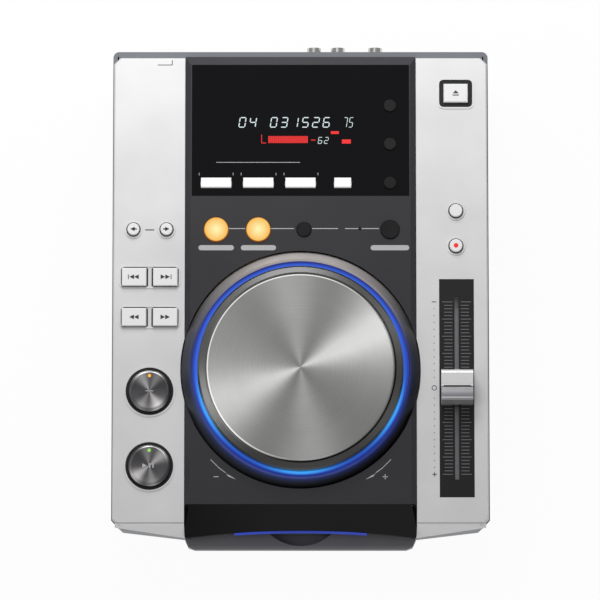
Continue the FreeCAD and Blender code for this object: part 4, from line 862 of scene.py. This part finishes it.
# %% [markdown]
# Thin dark lines on the silver panel point to the power switch at the rear and join the two round
# folder keys. The bent line is two bars that meet at its corner.

# %% Lines on the panel
POINTER_LEFT, POINTER_CORNER, POINTER_ROW, POINTER_TOP = 157, 171.5, 63.5, 58.5
FOLDER_LEFT, FOLDER_RIGHT, FOLDER_ROW = 145, 154, 229.8
panel_lines = [line(POINTER_LEFT, POINTER_ROW, POINTER_CORNER, POINTER_ROW, PANEL_Z),
               line(POINTER_CORNER, POINTER_ROW + 0.2, POINTER_CORNER, POINTER_TOP, PANEL_Z),
               line(FOLDER_LEFT, FOLDER_ROW, FOLDER_RIGHT, FOLDER_ROW, PANEL_Z, 0.6 * MM)]
flat_piece("panel_lines", panel_lines, PANEL_Z, dark_ink)
print(len(panel_lines), "lines on the panel")

# %% [markdown]
# On the dark deck the lines are pale. One row joins the loop keys. Two bent arrows at the front show
# which way the wheel turns the music, and mirror each other across the wheel, so one list of pixels
# makes both: the columns of a pair add up to the same number.

# %% Arrows and lines on the deck
LOOP_ROW = 228.5
LOOP_GAPS = ((228, 245), (270, 294), (312, 338), (345, 379))
MIRROR_SUM = 601.5
ARROW_PATH = ((211, 458.6), (219.5, 467), (229, 474))
ARROW_WIDTHS = (0.36 * MM, 0.4 * MM)
ARROW_BARB = ((236.5, 478.6), (225.5, 471.3), (228.3, 475.2))
MINUS_PX, PLUS_PX, SIGN_ROW, SIGN_REACH = 216.5, 384.7, 475.7, 2.5


def mirrored(points, turn):
    """These pixels, or their mirror images across the wheel when turn is -1."""
    return [(px if turn == 1 else MIRROR_SUM - px, py) for px, py in points]


deck_lines = [line(left, LOOP_ROW, right, LOOP_ROW, DECK_Z) for left, right in LOOP_GAPS]
for turn in (1, -1):
    path = mirrored(ARROW_PATH, turn)
    for start, end, width in zip(path, path[1:], ARROW_WIDTHS):
        deck_lines.append(line(*start, *end, DECK_Z, width))
    barb = [spot(px, py, DECK_Z) for px, py in mirrored(ARROW_BARB, turn)]
    deck_lines.append(barb[::turn])
for px in (MINUS_PX, PLUS_PX):
    deck_lines.append(line(px - SIGN_REACH, SIGN_ROW, px + SIGN_REACH, SIGN_ROW, DECK_Z))
deck_lines.append(line(PLUS_PX, SIGN_ROW - SIGN_REACH, PLUS_PX, SIGN_ROW + SIGN_REACH, DECK_Z))
print(len(deck_lines), "lines so far")

# %% [markdown]
# The three effect keys have short marks at their corners and one long line behind them. Below the
# loop keys are plain pills, and a small dark lamp sits in the loop row.

# %% Marks round the effect keys, and pills
HAIR = 0.3 * MM
EFFECT_KEYS = ((199, 233), (241, 276), (284, 318))
EFFECT_MARK_FRONT, EFFECT_MARK_REAR = 175, 172.5
EFFECT_LEFT, EFFECT_RIGHT, EFFECT_ROW = 216, 300, 162
PILL_SPANS = ((198.4, 233.9), (240.8, 276), (370.6, 409.3))
PILL_ROW = 247.7
PILL_H = 3.0 * MM
LOOP_LAMP_PX = 360
for key in EFFECT_KEYS:
    for px in key:
        deck_lines.append(line(px, EFFECT_MARK_FRONT, px, EFFECT_MARK_REAR, DECK_Z, HAIR))
deck_lines.append(line(EFFECT_LEFT, EFFECT_ROW, EFFECT_RIGHT, EFFECT_ROW, DECK_Z, HAIR))
flat_piece("deck_lines", deck_lines, DECK_Z, pale_ink)
pills = []
for left, right in PILL_SPANS:
    x0, y = spot(left, PILL_ROW, DECK_Z)
    pills.append(pill(x0, spot(right, 0, DECK_Z)[0], y, PILL_H))
flat_piece("deck_pills", pills, DECK_Z, dull_pill)
x, y = spot(LOOP_LAMP_PX, LOOP_ROW, DECK_Z)
flat_piece("loop_lamp", [dot(x, y, 0.9 * MM)], DECK_Z, finishes["button_black"], thick=0.3 * MM)
print(len(deck_lines), "lines and", len(pills), "pills on the deck")

# %% [markdown]
# The display glows behind the window. Each digit is made of slanted bars, seven at most, named a to
# g: the table says which are lit, and where each starts and ends on a grid one wide and two tall.
# A font would be quicker, but bars look like a real display and need no file. The numbers are made
# up.

# %% Digits
LIT = {"0": "abcdef", "1": "bc", "2": "abged", "3": "abgcd", "4": "fgbc", "5": "afgcd",
       "6": "afgedc", "7": "abc", "8": "abcdefg", "9": "abcdfg"}
ENDS = {"a": (0, 2, 1, 2), "b": (1, 2, 1, 1), "c": (1, 1, 1, 0), "d": (0, 0, 1, 0),
        "e": (0, 0, 0, 1), "f": (0, 1, 0, 2), "g": (0, 1, 1, 1)}
STROKE_SHARE, GAP_SHARE, SLANT = 0.16, 0.55, 0.08


def digits(text, px, py, wide, tall, pitch):
    """Outlines of glowing digits with their lower left corner at a pixel."""
    made = []
    x0, y0 = spot(px, py, DECK_Z)
    stroke = STROKE_SHARE * wide
    for n, mark in enumerate(text):
        for key in LIT[mark]:
            ax, ay, bx, by = ENDS[key]
            a, b = (Vector((x0 + n * pitch + u * wide + v * SLANT * tall, y0 + v * tall / 2))
                    for u, v in ((ax, ay), (bx, by)))
            step = (b - a).normalized() * stroke * GAP_SHARE
            made.append(bar(*(a + step), *(b - step), stroke))
    return made


MAIN_ROW = 126.5
MAIN_WIDE, MAIN_TALL, MAIN_PITCH = 3.4 * MM, 5.6 * MM, 6.1 * MM
glow = digits("04", 238.5, MAIN_ROW, MAIN_WIDE, MAIN_TALL, MAIN_PITCH)
glow += digits("031526", 270, MAIN_ROW, MAIN_WIDE, MAIN_TALL, MAIN_PITCH)
glow += digits("75", 343, MAIN_ROW, 2.0 * MM, MAIN_TALL, 3.3 * MM)
glow += digits("62", 318, 143, 2.0 * MM, 3.6 * MM, 3.6 * MM)
flat_piece("display_digits", glow, DECK_Z, segment_glow)
print(len(glow), "lit bars in the digits")

# %% [markdown]
# Below the digits is a red bar graph in an open corner, with a minus and two small marks to its
# right. The graph is a row of separate bars, as it is on the tube.

# %% Red marks
GRAPH_BARS = 20
GRAPH_LEFT, GRAPH_STEP, GRAPH_REAR, GRAPH_FRONT = 269, 2, 135.5, 142.5
CORNER_PX, CORNER_REAR, CORNER_END = 261.5, 134, 266
reds = [line(GRAPH_LEFT + GRAPH_STEP * i, GRAPH_REAR, GRAPH_LEFT + GRAPH_STEP * i, GRAPH_FRONT, DECK_Z,
             0.85 * MM) for i in range(GRAPH_BARS)]
reds.append(line(CORNER_PX, CORNER_REAR, CORNER_PX, GRAPH_FRONT, DECK_Z, 0.4 * MM))
reds.append(line(CORNER_PX, GRAPH_FRONT, CORNER_END, GRAPH_FRONT, DECK_Z, 0.4 * MM))
for left, right, row, width in ((331, 339, 132, 1.6 * MM), (342, 351, 141, 2.4 * MM),
                                (311, 315.5, 139.5, 0.5 * MM)):
    reds.append(line(left, row, right, row, DECK_Z, width))
flat_piece("display_reds", reds, DECK_Z, red_glow)
print(len(reds), "red marks")

# %% [markdown]
# The light comes from a soft lamp over the rear, as in the photograph, a weaker one from the left
# and the weakest from the front. The air gives an even dim white that fills the shadows.


# %% Lamps and air
def add_lamp(name, place, aim, size, power):
    """A square soft lamp."""
    data = bpy.data.lights.new(name, "AREA")
    data.size = size
    data.energy = power
    lamp = bpy.data.objects.new(name, data)
    bpy.context.scene.collection.objects.link(lamp)
    lamp.location = place
    lamp.rotation_euler = (Vector(aim) - Vector(place)).to_track_quat("-Z", "Y").to_euler()


AIR_LEVEL = 0.36
world = bpy.context.scene.world or bpy.data.worlds.new("studio")
bpy.context.scene.world = world
world.use_nodes = True
air = world.node_tree.nodes["Background"]
air.inputs[0].default_value = (1, 1, 1, 1)
air.inputs[1].default_value = AIR_LEVEL
add_lamp("rear_lamp", (-0.05, 0.48, 0.54), (0, 0.02, 0.09), 0.4, 3.2)
add_lamp("left_lamp", (-0.9, -0.1, 1.0), (0, 0, 0.08), 0.5, 1.6)
add_lamp("front_lamp", (0.2, -1.3, 0.8), (0, 0, 0.05), 0.6, 0.8)
print("three lamps")

# %% [markdown]
# The floor is white paper. More light would whiten it but would also bleach the object, so its
# material answers the camera, mirrors and glass with plain white, and keeps a small share of the
# real surface so that the object's shadow still falls on it.

# %% Floor
FLOOR_HALF = 4.0
FLOOR_WHITE = 0.95
floor_finish = Finish("studio_floor", (0.95, 0.95, 0.95), 0.7)
floor_finish.vary(0.01, floor_finish.noise(0.3))
tree = floor_finish.tree
white = tree.nodes.new("ShaderNodeEmission")
white.inputs[0].default_value = (1, 1, 1, 1)
rays = tree.nodes.new("ShaderNodeLightPath")
blend = tree.nodes.new("ShaderNodeMixShader")
seen = Level(tree, rays.outputs["Is Camera Ray"]) + Level(tree, rays.outputs["Is Glossy Ray"])
seen = (seen + Level(tree, rays.outputs["Is Transmission Ray"])) * FLOOR_WHITE
tree.links.new(seen.socket, blend.inputs[0])
tree.links.new(floor_finish.shader.outputs[0], blend.inputs[1])
tree.links.new(white.outputs[0], blend.inputs[2])
tree.links.new(blend.outputs[0], tree.nodes["Material Output"].inputs[0])
corners = [(x * FLOOR_HALF, y * FLOOR_HALF, 0) for x, y in ((-1, -1), (1, -1), (1, 1), (-1, 1))]
floor_mesh = bpy.data.meshes.new("studio_floor")
floor_mesh.from_pydata(corners, [], [(0, 1, 2, 3)])
floor = bpy.data.objects.new("studio_floor", floor_mesh)
bpy.context.scene.collection.objects.link(floor)
floor_mesh.materials.append(floor_finish.material)
print("floor", 2 * FLOOR_HALF, "m wide")
